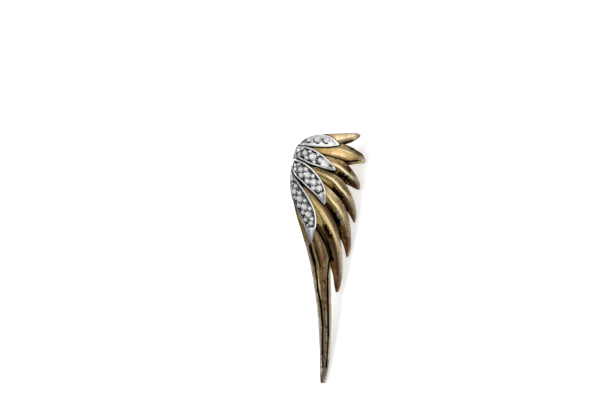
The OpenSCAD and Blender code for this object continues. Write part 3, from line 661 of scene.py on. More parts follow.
def polished_post():
    material, graph, shader = new_material("post_metal")
    grain = graph.noise(graph.place("UV", TURNED_SIZE), 3, 0.6)
    graph.feed(shader, {
        "Base Color": graph.mix(graph.spread(grain, 0.3, 0.7), POST_LIGHT, POST_DULL),
        "Metallic": 1, "Roughness": graph.spread(grain, 0.3, 0.7, 0.12, 0.24),
        "Normal": graph.bump(grain, BRUSHED_DEPTH, 0.3)})
    return material


def floor_paper():
    """Pale paper, lit a little from within as in a bright room."""
    material, graph, shader = new_material("pale_floor")
    fibres = graph.noise(graph.place("Object", FIBRE_SIZE), 3, 0.6)
    graph.feed(shader, {
        "Base Color": graph.mix(fibres, PAPER_DULL, PAPER_LIGHT), "Roughness": 0.9,
        "Specular IOR Level": 0.1, "Emission Color": WHITE, "Emission Strength": 0.36})
    return material


gold = gilt()
silver = white_metal()
crystal = clear_stone()
steel = polished_post()

# Wing

# Finish and painted light and shade of the feathers and the bone, as strokes over the drawn wing.
# A stroke is a radius, a strength and the points of a line.
# Dark strokes: oxide, with painted dark reflections on flanks and painted shadows under edges
OXIDE_AND_SHADE_STROKES = {
    1: [
        (.13, .7, [(-2, 49.6), (2, 49.85), (5.8, 50), (8, 49.9)]),
        (.2, .8, [(4.2, 47.95), (5.8, 48.25), (6.6, 48.5)])],
    2: [
        (.24, .9, [(5, 47.8), (5.9, 47.35), (7.3, 46.5), (8.6, 45.5)]),
        (.12, .7, [(5.8, 46.9), (7, 46.2), (8.2, 45.2)]),
        (.13, .8, [(4.6, 44.4), (5.7, 44.25), (7.4, 44.4)])],
    3: [(.22, .8, [(5.6, 40.3), (6.2, 39.7)]), (.2, .9, [(5.4, 43.2), (6, 42.5)])],
    4: [(.2, .7, [(4.4, 36.4), (5.6, 34.6)])],
    5: [(.2, .6, [(3.6, 32), (4.2, 30)])],
    6: [(.12, .6, [(0, 30.4), (1.1, 28.2), (1.5, 27)])],
    7: [
        (.8, .36, [(-1, 29.4), (-.4, 27.2)]),
        (.4, .3, [(.6, 25), (1, 17.6), (1.2, 10), (1.1, 2)])],
}
# Patches of painted dark reflection, with oxide, on the flanks, as strokes whose points are a row
# and a share of the way across
DARK_REFLECTION_PATCHES = {
    3: [(.6, 1, [(3.2, .72), (4.5, .72)])],
    4: [(.47, 1, [(3.4, .8), (4.2, .77), (4.9, .76)])],
    5: [(.55, 1, [(3.4, .86), (4.1, .8), (4.7, .76)])],
    6: [(.56, .95, [(3.8, .6), (4.6, .58)])],
}
# Crisp lines of painted shadow in the gaps and grooves, two of which run on over several pieces;
# on the tail they are painted shade for grooves that are not modelled
WEDGE_SHADOW_LINE = (.22, 1, [(-3.4, 44.1), (-2.2, 43.6), (-1.4, 43.3)])
ROOT_SHADOW_LINE = (.32, 1, [(-5, 41.4), (-4.3, 40.2), (-3.6, 39.2)])
LINES = {
    2: [(.08, 1, [(5.2, 44.3), (8.1, 44.5)]), (.14, 1, [(5, 44.35), (6.2, 44.4), (7.4, 44.5)])],
    3: [WEDGE_SHADOW_LINE],
    4: [WEDGE_SHADOW_LINE],
    5: [ROOT_SHADOW_LINE],
    6: [(.1, 1, [(-.5, 30.7), (.4, 29.2), (1.3, 27.5)]), ROOT_SHADOW_LINE],
    7: [
        (.25, 1, [(-.7, 31), (.2, 29.5), (1.2, 27.6), (1.8, 25.8), (2, 24.6)]),
        (.12, 1, [(-.95, 27), (-.1, 24.2), (.1, 23.2)]),
        (.19, 1, [(1.8, 24.4), (1.52, 21.6), (1.5, 18.6)]),
        (.22, 1, [(1.5, 18.6), (1.6, 14.6), (1.65, 9.6)]),
        (.17, 1, [(1.65, 9.6), (1.5, 6.6), (1.24, 3.1)])],
    8: [
        ROOT_SHADOW_LINE, (.34, 1, [(-1.95, 27.4), (-1.75, 26.4), (-1.1, 24.2)]),
        (.22, 1, [(-1.1, 24.2), (-.75, 21.6), (-.4, 18.6)]),
        (.26, 1, [(-.4, 18.6), (.1, 16.2), (.3, 14), (.5, 11.6)]),
        (.22, 1, [(.5, 11.6), (.5, 8.6), (.5, 6)]), (.18, 1, [(.5, 6), (.52, 3.2)])],
    "bone": [WEDGE_SHADOW_LINE, ROOT_SHADOW_LINE],
}
# Reddish tarnish
COPPER_STROKES = {
    1: [(.3, .3, [(6, 48.7), (6.6, 48.9)])],
    2: [(.4, .3, [(-1, 46.9), (1, 46.8)])],
    3: [(.5, .6, [(5.6, 40.7), (6.8, 39.4)]), (.4, .4, [(3, 44.6), (5.2, 43.4), (6.9, 41.8)])],
    4: [(.4, .4, [(6.8, 34), (6.9, 32.2)])],
    5: [(.5, .6, [(5, 29), (5.6, 26)])],
    6: [(.5, .6, [(3.4, 24), (3.6, 19)])],
    7: [(.38, .8, [(.5, 25.8), (.9, 20.7), (1.1, 15)]), (.35, .4, [(1.1, 15), (1.2, 5)])],
}
# Painted highlight along the groove between the two long feathers
GROOVE_HIGHLIGHT = [(.09, .5, [(-.5, 22.6), (-.3, 20.8)]),
             (.09, .8, [(-.3, 20.8), (-.13, 18.8), (.2, 16.8)])]
HIGHLIGHT_STROKES = {7: GROOVE_HIGHLIGHT, 8: GROOVE_HIGHLIGHT}
# Colours of the plate
TONES = {
    "cream": (.95, .72, .42), "straw": (.64, .47, .22), "tan": (.52, .33, .14),
    "gold": (.5, .38, .14), "sand": (.4, .285, .13), "drab": (.26, .185, .085),
    "olive": (.36, .28, .085), "bronze": (.19, .125, .06), "russet": (.24, .13, .06),
    "umber": (.1, .055, .022), "mist": (.26, .22, .165), "pewter": (.42, .37, .3),
    "grey": (.26, .23, .185), "silver": (.21, .21, .215), "plum": (.085, .05, .035),
    "pale": (.58, .54, .43), "taupe": (.22, .175, .125), "ash": (.66, .61, .52),
    "slate": (.1, .085, .062), "amber": (.85, .5, .17)}
# Tones of each feather: above and below the crest at its root, then at its tip
FEATHER_TONES = {
    1: ("tan", "tan", "pewter", "bronze"),
    2: ("straw", "tan", "bronze", "sand"),
    3: ("tan", "gold", "mist", "taupe"),
    4: ("straw", "gold", "mist", "taupe"),
    5: ("straw", "gold", "mist", "russet"),
    6: ("sand", "gold", "mist", "russet"),
    7: ("drab", "bronze", "taupe", "taupe"),
    8: ("sand", "sand", "bronze", "bronze"),
    "bone": ("olive", "olive", "olive", "olive")}
# Raggedness of the finish on each feather
RAGGED = {
    1: .4, 2: .5, 3: 1, 4: 1, 5: 1, 6: 1, 7: .8, 8: .3, "bone": 1}
# Strokes of other tones
TONE_STROKES = {
    1: [
        ("cream", .54, 1, [(3.4, 49), (4.2, 49), (5.9, 49.2), (6.8, 49.4)]),
        ("umber", .25, .9, [(4.2, 47.9), (5.8, 48.3), (6.4, 48.6)])],
    2: [
        ("bronze", .9, .85, [(-1.5, 46.9), (.2, 46.7)]),
        ("olive", .8, .6, [(1, 46.8), (1.8, 46.8)]),
        ("cream", .4, .55, [(2.6, 45.75), (4.6, 45.35)]),
        ("pale", .45, .5, [(8.3, 44.9), (8.9, 44.6)]),
        ("umber", .18, 1, [(4.8, 44.35), (5.8, 44.2), (7.6, 44.3)]),
        ("umber", .13, 1, [(1.1, 44.95), (2.6, 44.7), (4, 44.5), (5.2, 44.3)]),
        ("bronze", .35, 1, [(5.2, 47.5), (7.4, 46.2), (8.6, 45.2)])],
    3: [
        ("cream", .5, .9, [(1.8, 44.9), (3.4, 44.3)]),
        ("bronze", .4, 1, [(5.6, 42.8), (6.6, 41.6)])],
    4: [
        ("drab", .5, .5, [(-1.2, 42.2), (.2, 41.3)]),
        ("bronze", .35, 1, [(5.2, 39), (6, 37.6)]),
        ("russet", .6, .8, [(6.9, 33.2), (6.9, 32.2)]),
        ("bronze", .5, .8, [(4.8, 36.4), (5.9, 34.8)])],
    5: [
        ("cream", .5, .9, [(1.9, 38.4), (2.9, 37.4)]),
        ("bronze", .35, .8, [(4.8, 35), (5.6, 32.8)]),
        ("russet", .8, .9, [(5.9, 27.4), (5.4, 25.4)]),
        ("bronze", .5, .5, [(3.9, 31.6), (4.6, 29.4)])],
    6: [
        # Painted brown shade along the trailing edge that the fifth feather overhangs
        ("umber", .35, 1, [(0, 36.6), (1.5, 34.6), (2.8, 32.3), (3.4, 30.6)]),
        ("drab", .8, .65, [(-3.2, 39.2), (-2.3, 37.8), (-1.7, 36.8)]),
        ("russet", .6, .9, [(4, 20.6), (3.5, 18.4)])],
    7: [
        ("umber", .4, .8, [(.4, 27), (1, 25)]),
        ("pewter", .24, 1, [(2, 22.4), (2.1, 18.6), (2.15, 14.4), (2.15, 9.6), (1.8, 5)]),
        ("grey", .7, .8, [(1.2, 2.2), (.8, .2)]), ("slate", .45, .9, [(1.2, 3.8), (.95, 1.7)])],
    8: [
        ("olive", .6, .5, [(-4.9, 36), (-3.2, 30)]),
        ("ash", .3, 1, [(-2.85, 27.8), (-2.25, 25.6), (-1.7, 22.9), (-1.2, 20.2), (-.8, 17.4),
         (-.4, 14.4), (-.15, 11.4), (0, 8.2), (.1, 2.6)]),
        ("umber", .4, .7, [(-1.4, 27.4), (-1.2, 25.6), (-.4, 22.4), (0, 20)]),
        ("umber", .4, .8, [(.2, 18), (.7, 12)]), ("grey", .7, .8, [(.5, 2.2), (.5, .2)]),
        ("slate", .35, .9, [(.3, 3.2), (.8, 1.6)])],
    "bone": [
        ("silver", .8, 1, [(-4.4, 48), (-5.4, 45.4), (-4.2, 44.5)]),
        ("grey", .4, 1, [(-5.8, 42.6), (-5.2, 41.6)])],
}
# More of them, whose points are a row and a share of the way across
FLANK_TONES = {
    3: [
        ("amber", .45, .8, [(1, .15), (3.2, .12)]), ("umber", .25, .8, [(3.2, .2), (5, .2)]),
        ("umber", .45, .8, [(4.8, .65), (6.3, .6)]), ("grey", .6, .7, [(7.2, .4), (8, .5)])],
    4: [
        ("bronze", .45, .55, [(.8, .25), (2.2, .18)]), ("gold", .2, .7, [(3.2, .97), (5, .97)]),
        ("straw", .12, .8, [(2.5, .42), (2.8, .6), (3.05, .85)]),
        ("bronze", .28, .7, [(3.2, .15), (5.2, .15)]), ("drab", .4, .7, [(5.3, .5), (7, .5)]),
        ("drab", .4, .8, [(5.5, .74), (7, .75)]), ("umber", .2, .6, [(4.6, .93), (5.6, .93)]),
        ("grey", .5, .8, [(8.2, .5), (9, .5)])],
    5: [
        ("bronze", .5, .8, [(4.8, .5), (7.2, .46)]), ("straw", .26, .85, [(5.3, .74), (7, .73)]),
        ("pale", .26, .8, [(3.9, .56), (5.3, .53)]), ("umber", .4, .7, [(7, .35), (7.6, .4)]),
        ("bronze", .25, .5, [(3.5, .15), (4.5, .15)]), ("russet", .3, .9, [(7.3, .7), (7.5, .7)]),
        ("grey", .5, .8, [(8.6, .5), (9, .5)])],
    6: [
        ("plum", .42, .9, [(5, .52), (6, .46), (7, .4), (8, .42), (9.2, .45)]),
        ("straw", .34, .9, [(4.9, .8), (6.3, .76)]), ("sand", .32, .8, [(6.6, .75), (8.3, .7)]),
        ("drab", .3, .5, [(4.6, .1), (5.4, .1)]), ("pale", .3, .45, [(6, .06), (8, .08)]),
        ("umber", .2, .8, [(6.5, .96), (9, .96)])],
    7: [("olive", .2, .6, [(3.6, .7), (6.4, .7)])],
}
# The painted highlight along each feather's crest: the rows that it runs between, half its width
# and its strength
CREST_HIGHLIGHTS = {
    1: (2, 3.6, .25, .5), 2: (2.4, 4.6, .26, 1), 3: (2, 5.6, .27, .8), 4: (1.8, 5.7, .26, .8),
    5: (2, 5.4, .26, .58), 6: (2.4, 6.4, .24, .6), 7: (1.5, 3.3, .12, .3)}
# Rows over which a crest highlight comes in, and over which it fades before and past its last row
BAND_IN = 0.7
BAND_FADE = 0.8
BAND_PAST = 0.4
# Share of the width on each side of the crest over which the tone turns, and the part of the
# length over which it turns from the root's to the tip's
CREST_TURN = 0.12
TIP_TURN = (0.2, 0.8)
# Painted shadow on the wing beside the coverts' trailing and leading edges: radius and strength
TRAIL_SHADOWS = [(.17, .9), (.17, .5), (.15, .3), (.17, .6)]
LEAD_SHADOWS = [(.3, 1), (.3, 1), (.3, 1), (.14, .6)]
# Rows at which that painted shadow begins
TRAIL_STARTS = [0, 0, .8, 1.9]
LEAD_STARTS = [0, .8, 1.6, 0]
# Painted shade, with the oxide that gathers there, in the seams: radius and strength along the
# trailing edge of each overlapping feather, and on the feather beside it, along the edge of the
# next
SEAM = (.07, .3)
SEAMED = (3, 4, 5, 6, 7)
SEAM_BESIDE = {2: (.27, 1), 3: (.27, 1), 4: (.27, 1), 5: (.27, 1), 6: (.13, .8)}
SEAM_ROWS = np.linspace(0, 8, 33)
# Painted brown shade along the trailing edges that the next feather overhangs: radius, strength
# and rows
EDGE_SHADES = {
    3: (.3, .8, 3.4, 5.2), 4: (.3, .9, .6, 2.4), 5: (.35, .8, 3.6, 5.4), 6: (.4, 1, .8, 5.4)}
EDGE_SHADE_POINTS = 12
# Plain satin finish of the wing's back, and the most height at which it lies
BACK_PAINT = (0.12, 0, 0, 0)
BACK_TINT = (0.34, 0.25, 0.12, 0.6)
BACK_TOP = BACK_BEVEL + 0.01


def on_feather(number, points):
    """Drawn places of points given as a row and a share of the way across a feather."""
    rows, shares = np.array(points, float).T
    edges = curve(FEATHERS[number], rows)
    return (edges[:, 0:2] + (edges[:, 2:4] - edges[:, 0:2]) * shares[:, None]).tolist()


def trailing_edge(number, rows):
    """Drawn points along a feather's trailing edge."""
    return curve(FEATHERS[number], rows)[:, 0:2].tolist()


def stroked(strokes, place):
    """How far drawn places are covered by strokes."""
    bare = np.ones(place.shape[:-1])
    for radius, strength, points in strokes:
        nearest = np.full(place.shape[:-1], np.inf)
        for start, end in zip(np.array(points[:-1]), np.array(points[1:])):
            way = end - start
            t = np.clip((place - start) @ way / (way @ way), 0, 1)
            away = np.linalg.norm(place - start - t[..., None] * way, axis=-1)
            nearest = np.minimum(nearest, away)
        bare *= 1 - strength * bell(nearest, radius)
    return 1 - bare


def covert_shadow_strokes():
    """Strokes of painted shadow along the outlines of the coverts."""
    strokes = []
    for i, table in enumerate(COVERTS):
        last, count = len(table) - 1, 3 * len(table)
        trail = curve(table, np.linspace(TRAIL_STARTS[i], last, count))[:, 0:2]
        lead = curve(table, np.linspace(LEAD_STARTS[i], last, count))[:, 2:4]
        strokes += [(*TRAIL_SHADOWS[i], trail.tolist()), (*LEAD_SHADOWS[i], lead.tolist())]
    return strokes


def wing_paint(piece, flat, crest_highlight):
    """Paint of a feather or the bone at drawn places: oxide with painted dark reflections and
    shadows, copper, painted highlight, and painted shade in the seams.
    """
    seams = covert_shadow_strokes()
    if piece in SEAMED:
        seams.append((*SEAM, trailing_edge(piece, SEAM_ROWS)))
    if piece in SEAM_BESIDE:
        seams.append((*SEAM_BESIDE[piece], trailing_edge(piece + 1, SEAM_ROWS)))
    patches = [(*patch, on_feather(piece, points)) for *patch, points in DARK_REFLECTION_PATCHES.get(piece, [])]
    oxide_and_shade_mask = stroked(OXIDE_AND_SHADE_STROKES.get(piece, []) + patches, flat)
    seam_shade = stroked(seams + LINES.get(piece, []), flat)
    copper = stroked(COPPER_STROKES.get(piece, []), flat)
    pale = 1 - (1 - crest_highlight) * (1 - stroked(HIGHLIGHT_STROKES.get(piece, []), flat))
    return np.stack([oxide_and_shade_mask, copper, pale, seam_shade], axis=-1)


def wing_tint(piece, flat, along, below):
    """Tint of a feather or the bone at drawn places, where along runs from root to tip and below
    is 0 above the crest and 1 below it."""
    colours = [np.array(TONES[tone]) for tone in FEATHER_TONES[piece]]
    root = colours[0] + (colours[1] - colours[0]) * below[..., None]
    tip = colours[2] + (colours[3] - colours[2]) * below[..., None]
    tint = root + (tip - root) * along[..., None]
    strokes = list(TONE_STROKES.get(piece, []))
    for *stroke, points in FLANK_TONES.get(piece, []):
        strokes.append((*stroke, on_feather(piece, points)))
    if piece in EDGE_SHADES:
        radius, strength, first, last = EDGE_SHADES[piece]
        edge = trailing_edge(piece, np.linspace(first, last, EDGE_SHADE_POINTS))
        strokes.append(("umber", radius, strength, edge))
    for tone, *stroke in strokes:
        tint = tint + (np.array(TONES[tone]) - tint) * stroked([stroke], flat)[..., None]
    return np.concatenate([tint, np.full(tint.shape[:-1] + (1,), RAGGED[piece])], axis=-1)


def plain_back(paint, tint, z):
    """Paint and tint with the plain finish at the points that lie at the back."""
    behind = (z < BACK_TOP)[..., None]
    return np.where(behind, BACK_PAINT, paint), np.where(behind, BACK_TINT, tint)


def ripple(flat, seed):
    """Gentle unevenness of a hand-finished casting, between -1 and 1."""
    waves = [np.sin(a * flat[..., 0] + b * flat[..., 1] + c * seed) for a, b, c in WAVES]
    return sum(waves) / len(waves)


def feather(number):
    """One feather: flanks up to a soft crest, a shoulder below it, rounded edges, a flat back."""
    table = FEATHERS[number]
    u = samples(table, RING_STEP)
    rows, wide = sections(table, u)
    crest, shoulder, crest_h, shoulder_h, trail_h, lead_h = (rows[:, i, None] for i in range(4, 10))
    edge = np.minimum(EDGE_ROUND, EDGE_MOST * wide)
    bevel = np.minimum(BACK_BEVEL, BEVEL_MOST * wide)

    def height(x):
        rise = (crest_h - trail_h) / (crest * wide)
        fall = (shoulder_h - crest_h) / ((shoulder - crest) * wide)
        drop = (lead_h - shoulder_h) / ((1 - shoulder) * wide)
        below = np.clip((x / wide - crest) / (1 - crest), 0, 1)
        return (trail_h + rise * x + (fall - rise) * soft(x - crest * wide, CREST_SOFT * wide)
                + (drop - fall) * soft(x - shoulder * wide, SHOULDER_SOFT * wide)
                + FLUTE.get(number, 0) * (1 - crest) * wide * np.sin(2 * math.pi * below))

    t = np.linspace(0, 1, SLOPE_POINTS)[None, :]
    top_x = beside([
        edge + (crest * wide - edge) * t[:, :-1],
        crest * wide + (shoulder - crest) * wide * t[:, :-1],
        shoulder * wide + (wide - edge - shoulder * wide) * t])
    top_z = height(top_x)
    zero = np.zeros_like(wide)
    lean = edge * (1 - math.sqrt(0.5))
    side_x = [bevel, zero, zero, lean]
    x = beside(side_x + [top_x] + [wide - one for one in side_x[::-1]])
    z = beside([
        zero, zero + BACK_BEVEL, top_z[:, :1] - edge, top_z[:, :1] - lean, top_z,
        top_z[:, -1:] - lean, top_z[:, -1:] - edge, zero + BACK_BEVEL, zero])
    flat = across(rows, x)
    inner = len(side_x) + 1
    wobble = np.zeros_like(z)
    wobble[:, inner:-inner] = WOBBLE
    z = z + wobble * ripple(flat, float(number))
    # Painted highlight along the crest
    first, last, half, strength = CREST_HIGHLIGHTS.get(number, (0, 0, 1, 0))
    along = step(u, first - BAND_IN, first + BAND_IN)
    along = along * (1 - step(u, last - BAND_FADE, last + BAND_PAST))
    crest_highlight = strength * along[:, None] * bell(x - crest * wide, half)
    down = step(x, (crest - CREST_TURN) * wide, (crest + CREST_TURN) * wide)
    far = np.broadcast_to(step(u / u[-1], *TIP_TURN)[:, None], x.shape)
    paint, tint = wing_paint(number, flat, crest_highlight), wing_tint(number, flat, far, down)
    paint, tint = plain_back(paint, tint, z)
    return skin(f"feather_{number}", raised(flat, z), paint, gold, tint)


def disc_ring(x, y, z, radius, sides, first=0):
    turn = (np.arange(sides) + first) * 2 * math.pi / sides
    ring = [x + radius * np.cos(turn), y + radius * np.sin(turn), np.full(sides, z)]
    return np.stack(ring, axis=1)


def bone():
    """Solids under the coverts' roots: low discs, so close that they run together."""
    parts = []
    for x, y, radius, high in curve(BONE, np.linspace(0, len(BONE) - 1, BONE_DISCS)):
        profile = [(0, radius - BACK_BEVEL), (BACK_BEVEL, radius), (high - EDGE_ROUND, radius)]
        profile += [(high, share * (radius - EDGE_ROUND)) for share in BONE_TOP]
        rings = np.stack([disc_ring(x, y, z, r, BONE_SIDES) for z, r in profile])
        flat = rings[..., 0:2]
        none = np.zeros(flat.shape[:-1])
        paint, tint = wing_paint("bone", flat, 0), wing_tint("bone", flat, none, none)
        paint, tint = plain_back(paint, tint, rings[..., 2])
        parts.append(skin("bone", rings, paint, gold, tint))
    return parts


def covert_solid(index, inset, low, high):
    """Upright prism on a covert's outline, set in by some millimetres, or grown if below 0."""
    rows, wide = sections(COVERTS[index], samples(COVERTS[index], RING_STEP))
    inset = np.minimum(inset, FOOT_INSET_MOST * wide)
    x = beside([inset, inset, wide - inset, wide - inset])
    z = np.broadcast_to([low, high, high, low], x.shape)
    rings = raised(across(rows, x), z)
    # Full painted shade on the prism's faces, which darkens the pocket walls that they cut; the
    # back keeps the plain finish
    paint, tint = plain_back(plain_paint(rings, (1, 0, 0, 0)), plain_paint(rings, (0, 0, 0, 0)), z)
    return skin("prism", rings, paint, gold, tint)


def wing():
    whole, *others = [feather(number) for number in FEATHERS]
    whole.name = "wing_body"
    coverts = range(len(COVERTS))
    others += bone() + [covert_solid(i, FOOT_INSET, 0, FOOT_HEIGHT) for i in coverts]
    combine(whole, "UNION", others)
    pockets = [covert_solid(i, -SEAT_GAP, POCKET_FLOOR, ABOVE_ALL) for i in coverts]
    combine(whole, "DIFFERENCE", pockets)
    smooth(whole)
    return whole


# Coverts

# Painted grey shade on the coverts, along the shoulder's outline and on the tips' lower sides
COVERT_SHADE = 0.8
COVERT_SHADE_STROKES = [
    (.3, .45, [(-.5, 49.85), (-3.2, 48.9), (-4.4, 47.7)]),
    (.22, .75, [(-4.6, 47.5), (-5.05, 46.4), (-5.3, 45.6)]),
    (.2, .5, [(-5.4, 45.2), (-5.7, 44.2), (-5.85, 43.3)]), (.5, .9, [(-3.2, 48.6), (-3.9, 47.7)]),
    (.6, .8, [(-5.75, 42.5), (-5.5, 41.2)]),
    (.4, .85, [(-5.9, 41.4), (-5.95, 40.2), (-5.9, 39.6)]),
    (.35, .9, [(-4.15, 47.7), (-3.6, 47.8)]),
    (.26, 1, [(-6, 40.8), (-5.98, 39.2), (-5.8, 37.7), (-5.44, 36.4), (-4.92, 35.15),
     (-4.35, 34)]),
    (.26, .7, [(-4.35, 34), (-3.8, 32.8)]), (.4, .5, [(1.6, 42.8), (3, 42.5)]),
    (.5, .55, [(.9, 37.4), (.9, 35.8)]), (.4, .55, [(-1.2, 30.4), (-1.8, 27.9)])]
# Painted shade for a small pit on the second covert's tip, which is not cut into the shape
PIT_SHADE = [(.28, 1, [(1.95, 43.5), (2.3, 43.3)])]
# Painted shade on the wall of each bed, and the painted sheen that makes each covert brighter than
# plain white metal
WALL_SHADE = [0.2, 1, 1, 1]
SHEEN = [0.7, 0.45, 0.1, 0]
# Painted glint of the rims: half its width, as a share of a rim's, and its strength where no bed
# is sunk
GLINT_HALF = 0.45
GLINT_LEAST = 0.4
# Painted glint past a bed's last row: how far past, and half its width, in rows
END_GLINT = 0.12
END_GLINT_HALF = 0.06
# How strongly the painted shade takes away the painted glint and sheen
SHADE_DULLS = 1.6
# Margin, in millimetres
TINY = 0.01
# Halvings in the search for a row, and the step over which a slope is taken
SEARCH_STEPS = 24
SLOPE_STEP = 0.05


def dome(rows, v):
    """Height of a covert's top before its bed is sunk."""
    return (rows[:, 4, None] + (rows[:, 5, None] - rows[:, 4, None]) * v
            + rows[:, 6, None] * 4 * v * (1 - v))


def rims(wide):
    """Widths of the rims along the trailing and the leading edge."""
    return np.minimum(TRAIL_RIM, RIM_MOST * wide), np.minimum(LEAD_RIM, RIM_MOST * wide)


def covert(index):
    """One covert: a domed plate with rounded rims along a sunk bed, and a plain tip."""
    first, last = BEDS[index]
    u = samples(COVERTS[index], COVERT_STEP)
    rows, wide = sections(COVERTS[index], u)
    sunk = step(u, first - BED_SLOPE, first + BED_SLOPE)
    sunk = (sunk * (1 - step(u, last - BED_SLOPE, last + BED_SLOPE)))[:, None]
    trail, lead = rims(wide)
    wall = np.minimum(BED_WALL, WALL_MOST * wide)
    rounding = np.minimum(RIM_ROUND, ROUND_MOST * trail)
    arc = np.linspace(0, math.pi / 2, ARC_POINTS)[None, :]

    def rim(width):
        """Distances in over a rim and down its wall, and heights there from the dome."""
        t = np.linspace(0, 1, RIM_POINTS)[None, 1:]
        bulge = sunk * RIM_BULGE * 4 * t * (1 - t) - sunk * RIM_FALL * t**6
        x = [rounding * (1 - np.cos(arc)), rounding + (width - rounding) * t, width + wall]
        z = [-rounding * (1 - np.sin(arc)), np.maximum(bulge, 0), -BED_DEPTH * sunk]
        return beside(x), beside(z)

    trail_x, trail_z = rim(trail)
    lead_x, lead_z = rim(lead)
    lead_x = wide - lead_x[:, ::-1]
    t = np.linspace(0, 1, BED_POINTS)[None, 1:-1]
    bed_x = trail_x[:, -1:] + (lead_x[:, :1] - trail_x[:, -1:]) * t
    x = beside([0 * wide, trail_x, bed_x, lead_x, wide])
    z = beside([trail_z, -BED_DEPTH * sunk + 0 * bed_x, lead_z[:, ::-1]])
    base = np.full_like(wide, POCKET_FLOOR + SEAT_GAP)
    z = beside([base, dome(rows, x[:, 1:-1] / wide) + z, base])
    flat = across(rows, x)
    from_lead = wide - x
    # Painted highlights: a glint along each rim and past the bed's end, and each covert's painted
    # sheen
    bright = bell(x - trail / 2, GLINT_HALF * trail) + bell(from_lead - lead / 2, GLINT_HALF * lead)
    bright = bright * (GLINT_LEAST + (1 - GLINT_LEAST) * sunk)
    inside = (x > trail + TINY) & (from_lead > lead + TINY)
    bed_end = bell(u - last - END_GLINT, END_GLINT_HALF)[:, None] * inside
    # Painted shade on the bed's walls, on the coverts' left side and lower tips, and at the pit
    dark = sunk * inside * WALL_SHADE[index]
    painted_shade = COVERT_SHADE * (1 - sunk * inside) * stroked(COVERT_SHADE_STROKES, flat)
    dark = np.maximum(np.maximum(dark, painted_shade), stroked(PIT_SHADE, flat))
    bright = np.clip(bright + bed_end + SHEEN[index], 0, 1)
    bright = bright * (1 - np.clip(SHADE_DULLS * dark, 0, 1))
    none = np.zeros_like(bright)
    paint = np.stack([dark, none, bright, none], axis=2)
    piece = skin(f"covert_{index + 1}_body", raised(flat, z), paint, silver)
    smooth(piece)
    return piece


def spot(index, x, y):
    """Place on a covert's bed under a drawn point, with the bed's normal there."""
    table = COVERTS[index]
    low, high = 0.0, len(table) - 1.0
    for _ in range(SEARCH_STEPS):
        middle = (low + high) / 2
        ax, ay, bx, by = curve(table, middle)[0, 0:4]
        side = (bx - ax) * (y - ay) - (by - ay) * (x - ax)
        low, high = (low, middle) if side < 0 else (middle, high)
    ax, ay, bx, by = curve(table, low)[0, 0:4]
    v = ((x - ax) * (bx - ax) + (y - ay) * (by - ay)) / ((bx - ax) ** 2 + (by - ay) ** 2)

    def bed_point(u, v):
        row = curve(table, u)
        flat = row[0, 0:2] + (row[0, 2:4] - row[0, 0:2]) * v
        return np.array([*flat, dome(row, v)[0, 0] - BED_DEPTH])

    along = bed_point(low + SLOPE_STEP, v) - bed_point(low - SLOPE_STEP, v)
    sideways = bed_point(low, v + SLOPE_STEP) - bed_point(low, v - SLOPE_STEP)
    normal = np.cross(sideways, along)
    return np.array([x, y, bed_point(low, v)[2]]), normal / np.linalg.norm(normal)


# Stones

# Painted reflections of a stone: tones of its table, of its facets, and of those round the girdle,
# which are seen against the dark setting
TABLE_TONE = 1.0
FACET_TONES = (0.35, 1.0)
GIRDLE_TONES = (0.05, 0.55)
# Facets in each eighth of a stone, and the numbers of its two above the girdle
EIGHTH_FACETS = 9
GIRDLE_FACETS = (2, 3)
# Painted tone of the stones of each covert, and the painted shade on a stone that leans to the left
STONE_TONES = [1, 1, .96, .86]
LEAN_SHADE = 0.5
# Painted shade and painted sheen of the beds between the stones
BED_SHADE = [0, .97, .95, .93]
BED_SHINE = [.9, .2, 0, 0]
# How far the painted shadow spreads round a stone and along a rim
STONE_SHADOW = [0.22, 0.12, 0.12, 0.12]
SHADOW_OUT = 0.05
RIM_SHADOW = 0.16
# In the first covert: how far to the left the shadows lie, and what is left of them
SHADOW_LEAN = 0.8
SHADOW_SIDE = (0.2, 0.6)
SHADOW_CRISP = (0.3, 0.8)
# Painted shadow in a gap between stones of the first covert
BED_SHADOW_SPOTS = [(.13, 1, [(.4, 48.8), (.5, 48.65)])]


def solid(name, points, faces, paints, material):
    """Closed solid from drawn points, with a colour of paint for each face."""
    mesh = bpy.data.meshes.new(name)
    mesh.from_pydata(in_world(points).tolist(), [], faces)
    mesh.uv_layers.new(name="UVMap")
    colours = mesh.attributes.new("paint", "FLOAT_COLOR", "CORNER")
    corners = [paint for face, paint in zip(faces, paints) for _ in face]
    colours.data.foreach_set("color", np.array(corners, np.float32).ravel())
    return new_object(mesh, material)


def stood(points, place, normal, turn):
    """Points about the origin, turned about their own axis and stood on a bed."""
    side = np.cross([0, 1, 0], normal)
    side /= np.linalg.norm(side)
    other = np.cross(normal, side)
    c, s = math.cos(turn), math.sin(turn)
    x = c * points[:, 0] - s * points[:, 1]
    y = s * points[:, 0] + c * points[:, 1]
    return place + x[:, None] * side + y[:, None] * other + points[:, 2:3] * normal


